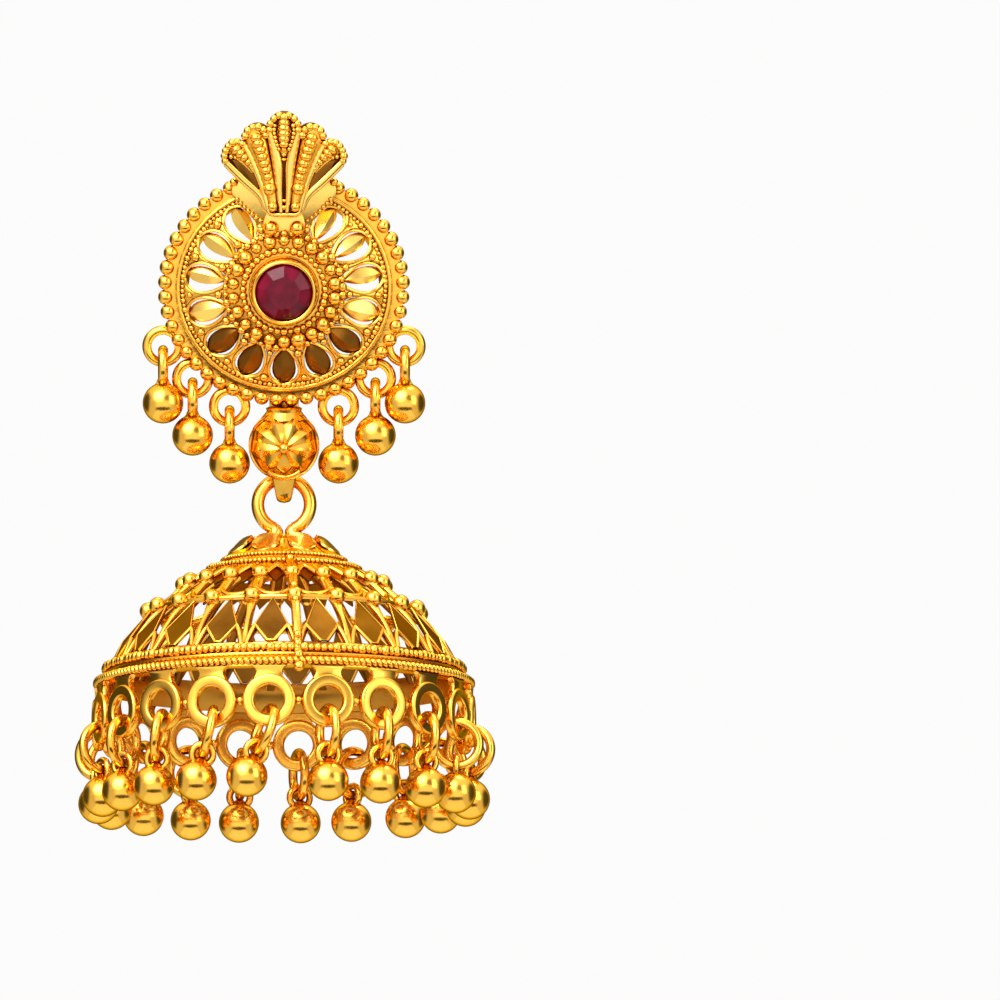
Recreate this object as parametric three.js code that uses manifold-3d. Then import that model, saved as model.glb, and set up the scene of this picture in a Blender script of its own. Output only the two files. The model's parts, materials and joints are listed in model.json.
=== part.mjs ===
// A jhumka earring: a pierced rosette stud with a fan crest and a red stone, and under it a bell-shaped
// pierced dome hung with ball drops. Millimetres, +Z up, and the front faces -Y.
// The origin is on the ear post, at the back of its foot, where the post enters the ear lobe.
import * as THREE from "three";
import { mergeVertices } from "three/addons/utils/BufferGeometryUtils.js";
import Module from "manifold-3d";

const wasm = await Module();
wasm.setup();

const deg = THREE.MathUtils.degToRad;
const mix = THREE.MathUtils.lerp;

// The stud leans forward as the weight under it pulls its foot back.
const STUD_DROOP = deg(15);
const SEAT_GAP = 0.15; // between pieces that rest on each other
const LINK_GAP = 0.2; // between a link and what it hangs on

// Rosette plate, measured from the post's foot forward
const ROSETTE_RADIUS = 8.9; // to the middle of the bead rim
const ROSETTE_OVAL = 0.945; // its height as a share of its width, at the rim
const ROSETTE_WALL = 0.6;
const ROSETTE_RIM_FORWARD = 0.9; // back face of the rim
const ROSETTE_RISE = 1.9; // from the rim's front to the middle of the plate
const RIM_THICKNESS = 0.8;
const PLATE_SECTIONS = [
  { out: 0, rise: 1 },
  { out: 0.2, rise: 0.95 },
  { out: 0.42, rise: 0.75 },
  { out: 0.68, rise: 0.34 },
  { out: 0.86, rise: 0.05 },
  { out: 1, rise: 0 },
];
const WINDOWS = 13;
const WINDOW_PITCH = deg(24.6);
// Each window holds a leaf that is joined at both its ends, so it is cut as two slits.
const WINDOW_SLIT = [
  [0.16, 0.3],
  [0.5, 0.35],
  [0.74, 0.58],
  [0.24, 0.8],
  [0.42, 0.56],
];
const RIM_BEADS = 3; // to a window
const RIM_BEAD_RADIUS = 0.56;

// Stone and its setting
const STONE_RADIUS = 2.08;
const STONE_TABLE_RADIUS = 1.12;
const STONE_CROWN = 0.62;
const STONE_GIRDLE = 0.16;
const STONE_PAVILION = 1.25;
const SETTING_WALL = 0.27;
const SETTING_FRONT = 5.0; // how far its lip stands forward of the post's foot
const SETTING_LIP = 0.3;

// Ear post
const POST_RADIUS = 0.45;
const POST_LENGTH = 10.5;
const POST_FOOT_RADIUS = 2.3;
const POST_FOOT_THICKNESS = 0.6;

// Crest
const CREST_FOOT = 6.0; // height of its foot over the post
const CREST_HEIGHT = 7.5;
const CREST_BACK = 3.25; // its back face, forward of the post's foot
const CREST_PLATE = 0.8;
const CREST_LOBES = [
  { name: "middle", lean: 0, reach: 1, tip: 1.15 },
  { name: "inner", lean: 19.5, reach: 0.93, tip: 1.05 },
  { name: "outer", lean: 39.5, reach: 0.88, tip: 1.08 },
];
const CREST_LOBE_FOOT_RADIUS = 0.42;
const CREST_SEAT_HALF_WIDTH = 3.9;
const CREST_SEAT_TOP = 8.4;
const CREST_SEAT_FOOT_HALF_WIDTH = 2.1;

// Flower ball under the rosette, with the hook that carries the dome
const BALL_RADIUS = 2.6;
const BALL_DEPTH = 2.05; // half its depth, as it is a little flat
const BALL_HEIGHT = -11.72; // its middle, over the post
const HOOK_FORWARD = 1.25; // the hook's eye, forward of the post's foot
const HOOK_BELOW_BALL = 2.7; // the hook's eye, under the ball's middle
const BALL_AHEAD_OF_HOOK = 1.4;
const BEAK_LENGTH = 1.75; // from the hook's eye to the tip
const BEAK_TOP_HALF_WIDTH = 0.95;
const BEAK_TIP_HALF_WIDTH = 0.5;
const BEAK_DEPTH = 1.25; // half its depth, front to back
const NECK_RADIUS = 1.1;
const TANG_THICKNESS = 0.5;
const TANG_LENGTH = 1.9;

// Bail on the dome's cap
const BAIL_RADIUS = 1.97;
const BAIL_WIRE = 0.48;
const COLLAR_RADIUS = 1.62;
const COLLAR_HEIGHT = 0.8;
const CAP_RADIUS = 4.75;
const CAP_HEIGHT = 1.75;
const CAP_SECTIONS = [
  { out: 0, down: 0.5 },
  { out: 0.6, down: 0.55 },
  { out: 0.82, down: 1 },
  { out: 1, down: 1 },
  { out: 0.97, down: 0.84 },
  { out: 0.64, down: 0.2 },
  { out: 0.5, down: 0.04 },
];
const CAP_LOBES = 8;
const CAP_LOBE_DEPTH = 0.05; // share of its radius

// Dome, as shares of its rim's radius and of its height down to the foot of the band
const SECTORS = 20;
const SEAM_AZIMUTH = deg(4.5); // of the rib with the seam, to the right of the front
const RIM_RADIUS = 14.0;
const DOME_HEIGHT = 10.25;
const DOME_WALL = 0.55;
const BAND_WALL = 0.65;
const DOME_SECTIONS = [
  { out: 0.3, down: 0 },
  { out: 0.45, down: 0.078 },
  { out: 0.59, down: 0.213 },
  { out: 0.706, down: 0.332 },
  { out: 0.752, down: 0.386 },
  { out: 0.827, down: 0.51 },
  { out: 0.884, down: 0.615 },
  { out: 0.918, down: 0.717 },
];
const BAND_SECTIONS = [
  { out: 0.95, down: 0.75 },
  { out: 0.943, down: 0.8 },
  { out: 1.003, down: 0.88 },
  { out: 1.02, down: 1 },
];
const ARCH_GAP = [
  [-0.7, 0.313],
  [0.7, 0.317],
  [0.68, 0.17],
  [0, 0.09],
  [-0.68, 0.17],
];
// Each cell has a kite-shaped plate in its middle. A strut runs from its side to the foot of each rib.
const GAP_OVER_STRUT = [
  [0.12, 0.402],
  [0.82, 0.408],
  [0.82, 0.668],
  [0.62, 0.59],
];
const GAP_UNDER_STRUT = [
  [0.57, 0.643],
  [0.78, 0.722],
  [0.12, 0.728],
];

// Washers and drops round the rim
const WASHER_RADIUS = 2.0;
const WASHER_HOLE = 1.12;
const WASHER_SINK = 0.18; // into the band
const WASHER_LUG_HEIGHT = 0.66;
const JUMP_RADIUS = 1.68;
const JUMP_WIRE = 0.35;
const EYE_HOLE = 0.56;
const EYE_WIRE = 0.22;
const DROP_BALL_RADIUS = 1.53;
const DROP_BALL_BELOW_EYE = 1.95; // middle of the ball under the middle of its eye

// Loops and drops on the rosette
const LOOP_RADIUS = 1.22;
const LOOP_WIRE = 0.34;
// Degrees from the foot, and the middle's distance from the rosette's as a share of its radius
const LOOPS = [
  { fromFoot: 24.5, out: 1.107 },
  { fromFoot: 45, out: 1.09 },
  { fromFoot: 64, out: 1.135 },
];
const STUD_RING_RADIUS = 1.25;
const STUD_RING_WIRE = 0.38;
const STUD_RING_SINK = 0.4; // of the ring into its ball

// How each rim drop hangs, from the first washer right of the seam on towards the right.
// turn: the jump ring about the vertical. lean: the drop to the left, in degrees.
const HANG = [
  { turn: 8, lean: 0 },
  { turn: -14, lean: 2 },
  { turn: -26, lean: 2 },
  { turn: 22, lean: 4 },
  { turn: -18, lean: 5 },
  { turn: 24, lean: 3 },
  { turn: -20, lean: -2 },
  { turn: 15, lean: 2 },
  { turn: -28, lean: -3 },
  { turn: 20, lean: 2 },
  { turn: -12, lean: -2 },
  { turn: 26, lean: 3 },
  { turn: -22, lean: 0 },
  { turn: 18, lean: -3 },
  { turn: -25, lean: 2 },
  { turn: 20, lean: -2 },
  { turn: 24, lean: 3 },
  { turn: 28, lean: 9 },
  { turn: 26, lean: 15 },
  { turn: 22, lean: 20 },
];

const RING_SIDES = 10;
const WIRE_SIDES = 5;
const BALL_SIDES = 10;
const BALL_ROWS = 5;
const WELD = 1e-4;

const gold = new THREE.MeshStandardMaterial({ color: 0xf0b43c, metalness: 1, roughness: 0.18 });
const stoneRed = new THREE.MeshStandardMaterial({ color: 0x7d0a2a, metalness: 0, roughness: 0.05 });

// Joining and cutting

function solidFrom(geometry) {
  const loose = geometry.index ? geometry.toNonIndexed() : geometry.clone();
  const bare = new THREE.BufferGeometry().setAttribute("position", loose.getAttribute("position"));
  const welded = mergeVertices(bare, WELD);
  const corners = welded.index.array;
  const kept = [];
  for (let i = 0; i < corners.length; i += 3) {
    const [a, b, c] = [corners[i], corners[i + 1], corners[i + 2]];
    if (a !== b && b !== c && a !== c) kept.push(a, b, c);
  }
  return new wasm.Manifold(
    new wasm.Mesh({
      numProp: 3,
      vertProperties: welded.attributes.position.array,
      triVerts: new Uint32Array(kept),
    }),
  );
}

function geometryFrom(solid) {
  const mesh = solid.getMesh();
  const indexed = new THREE.BufferGeometry();
  indexed.setAttribute("position", new THREE.BufferAttribute(new Float32Array(mesh.vertProperties), 3));
  indexed.setIndex(new THREE.BufferAttribute(new Uint32Array(mesh.triVerts), 1));
  const flat = indexed.toNonIndexed();
  flat.computeVertexNormals();
  return flat;
}

const join = (...geometries) => geometryFrom(geometries.map(solidFrom).reduce((whole, next) => whole.add(next)));
const cut = (body, tool) => geometryFrom(solidFrom(body).subtract(solidFrom(tool)));
const common = (one, other) => geometryFrom(solidFrom(one).intersect(solidFrom(other)));

// A surface from loose triangles. Rounding lets corners that were worked out twice meet exactly.
function surfaceFrom(positions) {
  const rounded = positions.map((value) => Math.round(value * 1e5) / 1e5);
  return new THREE.BufferGeometry().setAttribute("position", new THREE.Float32BufferAttribute(rounded, 3));
}

function node(name, geometry, material = gold) {
  const mesh = new THREE.Mesh(geometry, material);
  mesh.name = name;
  return mesh;
}

// Plain shapes

const ball = (radius, sides = BALL_SIDES, rows = BALL_ROWS) => new THREE.SphereGeometry(radius, sides, rows);

// A round ring of wire that stands upright and faces the front.
const frontRing = (radius, wire, sides = RING_SIDES, wireSides = WIRE_SIDES) =>
  new THREE.TorusGeometry(radius, wire, wireSides, sides).rotateX(Math.PI / 2);

// An outline in X and Z, given a thickness along Y between two planes.
function plateXZ(points, front, back) {
  const shape = new THREE.Shape(points.map(([x, z]) => new THREE.Vector2(x, z)));
  const depth = back - front;
  const plate = new THREE.ExtrudeGeometry(shape, { depth, bevelEnabled: false });
  return plate.rotateX(Math.PI / 2).translate(0, back, 0);
}

// A closed profile turned round the Z axis. Its points run counter-clockwise, as radius and height.
function turned(points, segments) {
  const closed = [...points, points[0]].map(([r, z]) => new THREE.Vector2(r, z));
  return new THREE.LatheGeometry(closed, segments).rotateX(Math.PI / 2);
}

// Turns a shape made round +Z so that its axis points forward. Angle 0 is then at its foot.
const faceFront = (geometry) => geometry.rotateX(Math.PI / 2);

// The section of a wall, from rows that each give a share v, a radius and a height. The wall's inner
// side lies a wall's thickness behind, or at the row's own inner radius.
function sectionOf(rows, wall) {
  let along = 0;
  const stations = rows.map(({ v, r, h, inner }, i) => {
    const before = rows[Math.max(i - 1, 0)];
    const after = rows[Math.min(i + 1, rows.length - 1)];
    const run = Math.hypot(after.r - before.r, after.h - before.h);
    along += Math.hypot(r - before.r, h - before.h);
    const behind = {
      r: inner ?? r - (wall * (before.h - after.h)) / run,
      h: inner === undefined ? h - (wall * (after.r - before.r)) / run : h,
    };
    return { v, r, h, along, innerR: behind.r, innerH: behind.h };
  });
  return (v) => {
    let i = 1;
    while (i < stations.length - 1 && stations[i].v < v) i += 1;
    const [from, to] = [stations[i - 1], stations[i]];
    const t = (v - from.v) / (to.v - from.v);
    return Object.fromEntries(Object.keys(from).map((key) => [key, mix(from[key], to[key], t)]));
  };
}

// A thin wall turned round Z and cut through. Each cell is a sector between two angles, with points
// given as [s, v]: s runs from -1 to 1 across the cell, and v down the section. Its sides have a
// point at each level, and its foot is straight unless it is given.
function piercedWall({ section, levels, cells }) {
  const positions = [];
  for (const { from, to, holes, foot = [] } of cells) {
    const place = ([s, v], inside) => {
      const { r, h, innerR, innerH } = section(v);
      const angle = mix(from, to, (s + 1) / 2);
      const radius = inside ? innerR : r;
      return [radius * Math.sin(angle), -radius * Math.cos(angle), inside ? innerH : h];
    };
    const flat = ([s, v]) => {
      const { r, along } = section(v);
      return new THREE.Vector2((s * r * (to - from)) / 2, -along);
    };
    const left = levels.map((v) => [-1, v]);
    const right = levels.map((v) => [1, v]).reverse();
    const border = [...left, ...foot, ...right];
    const wound = holes.map((hole) => (THREE.ShapeUtils.isClockWise(hole.map(flat)) ? hole : [...hole].reverse()));
    const points = [border, ...wound].flat();
    const faces = THREE.ShapeUtils.triangulateShape(
      border.map(flat),
      wound.map((hole) => hole.map(flat)),
    );
    for (const [a, b, c] of faces) {
      positions.push(...place(points[a]), ...place(points[b]), ...place(points[c]));
      positions.push(...place(points[a], true), ...place(points[c], true), ...place(points[b], true));
    }
    for (const loop of [border, ...wound]) {
      loop.forEach((p, i) => {
        const q = loop[(i + 1) % loop.length];
        const meetsNextCell = Math.abs(p[0]) === 1 && p[0] === q[0];
        if (meetsNextCell) return;
        positions.push(...place(p), ...place(p, true), ...place(q, true));
        positions.push(...place(p), ...place(q, true), ...place(q));
      });
    }
  }
  return surfaceFrom(positions);
}

const mirrored = (hole) => hole.map(([s, v]) => [-s, v]);

// Stud. Its pieces are made with the plate upright, and the whole group then droops.

const SETTING_RADIUS = STONE_RADIUS + SEAT_GAP + SETTING_WALL;
const SETTING_BACK = POST_FOOT_THICKNESS + SEAT_GAP;
const ROSETTE_BORE = SETTING_RADIUS + SEAT_GAP;
const PLATE_SPAN = ROSETTE_RADIUS + RIM_BEAD_RADIUS * 0.1 - ROSETTE_BORE;

// Squeezes the plate's height towards its rim and leaves its middle round.
function madeOval(geometry) {
  const place = geometry.getAttribute("position");
  for (let i = 0; i < place.count; i += 1) {
    const [x, y] = [place.getX(i), place.getY(i)];
    const out = (Math.hypot(x, y) - ROSETTE_BORE) / (ROSETTE_RADIUS - ROSETTE_BORE);
    place.setY(i, y * mix(1, ROSETTE_OVAL, Math.min(Math.max(out, 0), 1)));
  }
  return geometry;
}

// The plate's edge along a window: a bead's two shoulders, then the nick before the next bead
function beadedEdge() {
  const reach = (share) => 1 + (share * RIM_BEAD_RADIUS) / PLATE_SPAN;
  return Array.from({ length: RIM_BEADS }, (_, i) => {
    const at = (share) => (2 * (i + share)) / RIM_BEADS - 1;
    return [
      [at(0.28), reach(1)],
      [at(0.72), reach(1)],
      [at(1), reach(0.35)],
    ];
  })
    .flat()
    .slice(0, -1);
}

function rosettePlate() {
  const rimFront = ROSETTE_RIM_FORWARD + RIM_THICKNESS;
  const rows = [...PLATE_SECTIONS, { ...PLATE_SECTIONS.at(-1), out: 1.5 }];
  const section = sectionOf(
    rows.map(({ out, rise }) => ({ v: out, r: ROSETTE_BORE + out * PLATE_SPAN, h: rimFront + rise * ROSETTE_RISE })),
    ROSETTE_WALL,
  );
  const windows = Array.from({ length: WINDOWS }, (_, i) => ({
    from: (i - WINDOWS / 2) * WINDOW_PITCH,
    to: (i + 1 - WINDOWS / 2) * WINDOW_PITCH,
    holes: [WINDOW_SLIT, mirrored(WINDOW_SLIT)],
    foot: beadedEdge(),
  }));
  const lastWindow = (WINDOWS / 2) * WINDOW_PITCH;
  const behindCrest = { from: lastWindow, to: 2 * Math.PI - lastWindow, holes: [] };
  const halves = [
    { ...behindCrest, to: Math.PI },
    { ...behindCrest, from: Math.PI },
  ];
  const levels = PLATE_SECTIONS.map(({ out }) => out);
  return piercedWall({ section, levels, cells: [...windows, ...halves] });
}

// Middle of a loop on the rim, upright and before the stud droops.
const LOOP_FORWARD = ROSETTE_RIM_FORWARD + LOOP_WIRE;
const loopMiddles = [-1, 1].flatMap((side) =>
  LOOPS.map(({ fromFoot, out }) => {
    const angle = deg(fromFoot);
    const reach = out * ROSETTE_RADIUS;
    return new THREE.Vector3(side * reach * Math.sin(angle), -LOOP_FORWARD, -reach * Math.cos(angle));
  }),
);

function rosette() {
  const plate = faceFront(madeOval(rosettePlate()));
  const loops = loopMiddles.map(({ x, y, z }) => frontRing(LOOP_RADIUS, LOOP_WIRE).translate(x, y, z));
  const seatOutline = [
    [-CREST_SEAT_FOOT_HALF_WIDTH, CREST_FOOT - 0.9],
    [CREST_SEAT_FOOT_HALF_WIDTH, CREST_FOOT - 0.9],
    [CREST_SEAT_HALF_WIDTH, CREST_SEAT_TOP - 0.8],
    [CREST_SEAT_HALF_WIDTH - 0.4, CREST_SEAT_TOP],
    [-CREST_SEAT_HALF_WIDTH + 0.4, CREST_SEAT_TOP],
    [-CREST_SEAT_HALF_WIDTH, CREST_SEAT_TOP - 0.8],
  ];
  const seat = plateXZ(seatOutline, -(CREST_BACK - SEAT_GAP), -ROSETTE_RIM_FORWARD - 0.1);
  return join(plate, seat, ...loops);
}

function crest() {
  const middleReach = CREST_HEIGHT;
  const tips = [-1, 1].flatMap((side) =>
    CREST_LOBES.filter(({ lean }) => side > 0 || lean > 0).map(({ lean, reach, tip }) => ({
      lean: deg(side * lean),
      length: middleReach * reach - tip,
      tip,
    })),
  );
  tips.sort((a, b) => a.lean - b.lean);
  const middleOf = ({ lean, length }) => [length * Math.sin(lean), CREST_FOOT + length * Math.cos(lean)];
  const lobeMiddleForward = CREST_BACK + CREST_PLATE;
  const pieces = tips.flatMap((lobe) => {
    const [x, z] = middleOf(lobe);
    const stem = new THREE.CylinderGeometry(lobe.tip * 0.92, CREST_LOBE_FOOT_RADIUS, lobe.length, 6, 1);
    stem.translate(0, lobe.length / 2, 0).rotateX(Math.PI / 2).rotateY(lobe.lean);
    const head = ball(lobe.tip, 8, 4).scale(1, 0.85, 1);
    return [
      stem.translate(0, -lobeMiddleForward, CREST_FOOT),
      head.translate(x, -lobeMiddleForward, z),
    ];
  });
  const fan = [
    [-1.15, CREST_FOOT - 0.25],
    [1.15, CREST_FOOT - 0.25],
    ...tips.map(middleOf).reverse(),
  ];
  const backing = plateXZ(fan, -(CREST_BACK + CREST_PLATE), -CREST_BACK);
  const whole = join(backing, ...pieces);
  const behind = new THREE.BoxGeometry(30, 10, 30).translate(0, 5 - CREST_BACK, 0);
  return cut(whole, behind);
}

function setting() {
  const inner = STONE_RADIUS + SEAT_GAP;
  const girdleBack = SETTING_FRONT - SETTING_LIP - STONE_GIRDLE;
  const profile = [
    [0, SETTING_BACK],
    [SETTING_RADIUS - 0.1, SETTING_BACK],
    [SETTING_RADIUS - 0.1, SETTING_FRONT - 1.1],
    [SETTING_RADIUS, SETTING_FRONT - 0.9],
    [SETTING_RADIUS, SETTING_FRONT - 0.15],
    [inner + 0.05, SETTING_FRONT],
    [inner, girdleBack - SEAT_GAP],
    [0, girdleBack - STONE_PAVILION - 2 * SEAT_GAP],
  ];
  return faceFront(turned(profile, 20));
}

// A round brilliant with a table, eight main facets and sixteen to the girdle.
function stone() {
  const front = SETTING_FRONT - SETTING_LIP;
  const ringOf = (radius, count, forward, offset = 0) =>
    Array.from({ length: count }, (_, i) => {
      const angle = ((i + offset) / count) * 2 * Math.PI;
      return [radius * Math.sin(angle), -radius * Math.cos(angle), forward];
    });
  const table = ringOf(STONE_TABLE_RADIUS, 8, front + STONE_CROWN, 0.5);
  const girdleFront = ringOf(STONE_RADIUS, 16, front);
  const girdleBack = ringOf(STONE_RADIUS, 16, front - STONE_GIRDLE);
  const culet = [0, 0, front - STONE_GIRDLE - STONE_PAVILION];
  const tableMiddle = [0, 0, front + STONE_CROWN];
  const positions = [];
  for (let i = 0; i < 8; i += 1) {
    const next = (i + 1) % 8;
    const left = girdleFront[2 * i + 1];
    const right = girdleFront[(2 * i + 3) % 16];
    const under = girdleFront[(2 * i + 2) % 16];
    positions.push(...tableMiddle, ...table[i], ...table[next]);
    positions.push(...table[i], ...left, ...under);
    positions.push(...table[i], ...under, ...table[next]);
    positions.push(...table[next], ...under, ...right);
  }
  for (let i = 0; i < 16; i += 1) {
    const next = (i + 1) % 16;
    positions.push(...girdleFront[i], ...girdleBack[i], ...girdleBack[next]);
    positions.push(...girdleFront[i], ...girdleBack[next], ...girdleFront[next]);
    positions.push(...girdleBack[i], ...culet, ...girdleBack[next]);
  }
  const cutStone = new THREE.BufferGeometry();
  cutStone.setAttribute("position", new THREE.Float32BufferAttribute(positions, 3));
  return faceFront(cutStone);
}

// The foot lies against the lobe and the setting sits on it. The post runs back from the origin.
function earPost() {
  const profile = [
    [0, -POST_LENGTH],
    [POST_RADIUS * 0.7, -POST_LENGTH],
    [POST_RADIUS, -POST_LENGTH + 0.3],
    [POST_RADIUS, 0],
    [POST_FOOT_RADIUS, 0],
    [POST_FOOT_RADIUS, POST_FOOT_THICKNESS],
    [0, POST_FOOT_THICKNESS],
  ];
  return faceFront(turned(profile, 16));
}

function flowerBall() {
  const hookHeight = BALL_HEIGHT - HOOK_BELOW_BALL;
  const ballForward = HOOK_FORWARD + BALL_AHEAD_OF_HOOK;
  const round = ball(BALL_RADIUS, 16, 8)
    .rotateX(Math.PI / 2)
    .scale(1, BALL_DEPTH / BALL_RADIUS, 1)
    .translate(0, -ballForward, BALL_HEIGHT);
  // The bail's wire curves down on both sides, so the eye leaves room for it at the beak's faces.
  const bailDrop = BAIL_RADIUS - Math.sqrt(BAIL_RADIUS ** 2 - BEAK_TOP_HALF_WIDTH ** 2);
  const wireClear = BAIL_WIRE + bailDrop + LINK_GAP / 2;
  const backOfBall = HOOK_FORWARD + wireClear;
  const behindBall = new THREE.BoxGeometry(20, 10, 20).translate(0, 5 - backOfBall, BALL_HEIGHT);
  const frontHalf = cut(round, behindBall);

  // The beak: its side view with the eye, cut to its tapered front view.
  const side = new THREE.Shape();
  side.moveTo(-BEAK_DEPTH, 2.2);
  side.lineTo(-BEAK_DEPTH, -0.5);
  side.lineTo(-0.55, -BEAK_LENGTH);
  side.lineTo(0.55, -BEAK_LENGTH);
  side.lineTo(BEAK_DEPTH, -0.5);
  side.lineTo(BEAK_DEPTH, 2.2);
  const eye = new THREE.Path();
  eye.absarc(0, 0, wireClear / Math.cos(Math.PI / 12), 0, 2 * Math.PI, true);
  side.holes.push(eye);
  const width = 2 * BEAK_TOP_HALF_WIDTH;
  const sideView = new THREE.ExtrudeGeometry(side, { depth: width, bevelEnabled: false, curveSegments: 12 });
  sideView.rotateZ(Math.PI / 2).rotateY(Math.PI / 2);
  sideView.translate(-width / 2, -HOOK_FORWARD, hookHeight);
  const frontView = plateXZ(
    [
      [-BEAK_TIP_HALF_WIDTH, hookHeight - BEAK_LENGTH - 0.1],
      [BEAK_TIP_HALF_WIDTH, hookHeight - BEAK_LENGTH - 0.1],
      [BEAK_TOP_HALF_WIDTH * 0.95, hookHeight],
      [BEAK_TOP_HALF_WIDTH * 0.95, hookHeight + 3],
      [-BEAK_TOP_HALF_WIDTH * 0.95, hookHeight + 3],
      [-BEAK_TOP_HALF_WIDTH * 0.95, hookHeight],
    ],
    -6,
    3,
  );
  const beak = common(sideView, frontView);

  const rimFoot = -ROSETTE_RADIUS * ROSETTE_OVAL - RIM_BEAD_RADIUS - SEAT_GAP;
  const neckHeight = rimFoot - BALL_HEIGHT;
  const neck = new THREE.CylinderGeometry(NECK_RADIUS, NECK_RADIUS, neckHeight, 12)
    .rotateX(Math.PI / 2)
    .translate(0, -HOOK_FORWARD - 0.9, rimFoot - neckHeight / 2);
  const tangBack = -(ROSETTE_RIM_FORWARD - SEAT_GAP - TANG_THICKNESS);
  const tangTop = rimFoot + TANG_LENGTH;
  const tang = plateXZ(
    [
      [-NECK_RADIUS, hookHeight + 1],
      [NECK_RADIUS, hookHeight + 1],
      [NECK_RADIUS, tangTop - 0.4],
      [NECK_RADIUS - 0.4, tangTop],
      [-NECK_RADIUS + 0.4, tangTop],
      [-NECK_RADIUS, tangTop - 0.4],
    ],
    tangBack - TANG_THICKNESS,
    tangBack,
  );
  const shoulder = plateXZ(
    [
      [-NECK_RADIUS, hookHeight + 1],
      [NECK_RADIUS, hookHeight + 1],
      [NECK_RADIUS, rimFoot],
      [-NECK_RADIUS, rimFoot],
    ],
    -backOfBall - 0.3,
    tangBack - TANG_THICKNESS / 2,
  );
  return join(frontHalf, beak, neck, tang, shoulder);
}

// A ball with a ring soldered on, hung in a loop of the rim. Its origin is the top of the loop's lower wire.
function studDrop() {
  const ringMiddle = LINK_GAP - (STUD_RING_RADIUS - STUD_RING_WIRE);
  const ballMiddle = ringMiddle - STUD_RING_RADIUS - STUD_RING_WIRE + STUD_RING_SINK - DROP_BALL_RADIUS;
  const ring = frontRing(STUD_RING_RADIUS, STUD_RING_WIRE).rotateZ(Math.PI / 2);
  return join(
    ring.translate(0, 0, ringMiddle),
    ball(DROP_BALL_RADIUS).rotateX(Math.PI / 2).translate(0, 0, ballMiddle),
  );
}

// Dome. Its pieces are made about an upright axis, with the middle of the bail's top wire at the origin.

const CAP_TOP = -(2 * BAIL_RADIUS + COLLAR_HEIGHT - 0.1);
const DOME_TOP = CAP_TOP - CAP_HEIGHT - SEAT_GAP / 3;
const WASHER_RING = BAND_SECTIONS.at(-1).out * RIM_RADIUS - BAND_WALL / 2;
const WASHER_MIDDLE = DOME_TOP - DOME_HEIGHT - WASHER_RADIUS + WASHER_SINK;
const SECTOR = (2 * Math.PI) / SECTORS;

// Points of a circle about a washer's middle, as [s, v] in a cell of the dome. Angles run from the
// top towards the left.
function washerArc(radius, fromAngle, toAngle, steps) {
  const halfCell = (WASHER_RING * SECTOR) / 2;
  return Array.from({ length: steps + 1 }, (_, i) => {
    const angle = mix(fromAngle, toAngle, i / steps);
    const drop = DOME_TOP - WASHER_MIDDLE - radius * Math.cos(angle);
    return [(-radius * Math.sin(angle)) / halfCell, drop / DOME_HEIGHT];
  });
}

// The lower edge of a cell: round the washer, with half a lug on each side that joins it to the next.
function washerFoot() {
  const meetsBand = Math.acos(1 - (WASHER_SINK + 0.06) / WASHER_RADIUS);
  const meetsLug = Math.acos(WASHER_LUG_HEIGHT / 2 / WASHER_RADIUS);
  const lug = (side, height) => [side, (DOME_TOP - WASHER_MIDDLE - height) / DOME_HEIGHT];
  const lugEnd = WASHER_LUG_HEIGHT * 0.42;
  return [
    ...washerArc(WASHER_RADIUS, meetsBand, meetsLug, 2),
    lug(-1, lugEnd),
    lug(-1, -lugEnd),
    ...washerArc(WASHER_RADIUS, Math.PI - meetsLug, Math.PI + meetsLug, 4),
    lug(1, -lugEnd),
    lug(1, lugEnd),
    ...washerArc(WASHER_RADIUS, 2 * Math.PI - meetsLug, 2 * Math.PI - meetsBand, 2),
  ];
}

// The pierced dome, its band and the row of washers under it
function dome() {
  const washerRow = { ...BAND_SECTIONS.at(-1), down: 1.5 };
  const outer = ({ out, down }) => ({ v: down, r: out * RIM_RADIUS, h: DOME_TOP - down * DOME_HEIGHT });
  const section = sectionOf(
    [
      ...DOME_SECTIONS.map(outer),
      ...[...BAND_SECTIONS, washerRow].map(outer).map((row) => ({ ...row, inner: row.r - BAND_WALL })),
    ],
    DOME_WALL,
  );
  const hole = washerArc(WASHER_HOLE, Math.PI / 9, (19 / 9) * Math.PI, 9).slice(0, -1);
  const gaps = [GAP_OVER_STRUT, GAP_UNDER_STRUT];
  const cells = Array.from({ length: SECTORS }, (_, i) => ({
    from: SEAM_AZIMUTH + i * SECTOR,
    to: SEAM_AZIMUTH + (i + 1) * SECTOR,
    holes: [ARCH_GAP, ...gaps, ...gaps.map(mirrored), hole],
    foot: washerFoot(),
  }));
  return piercedWall({ section, levels: [...DOME_SECTIONS, ...BAND_SECTIONS].map(({ down }) => down), cells });
}

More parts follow.
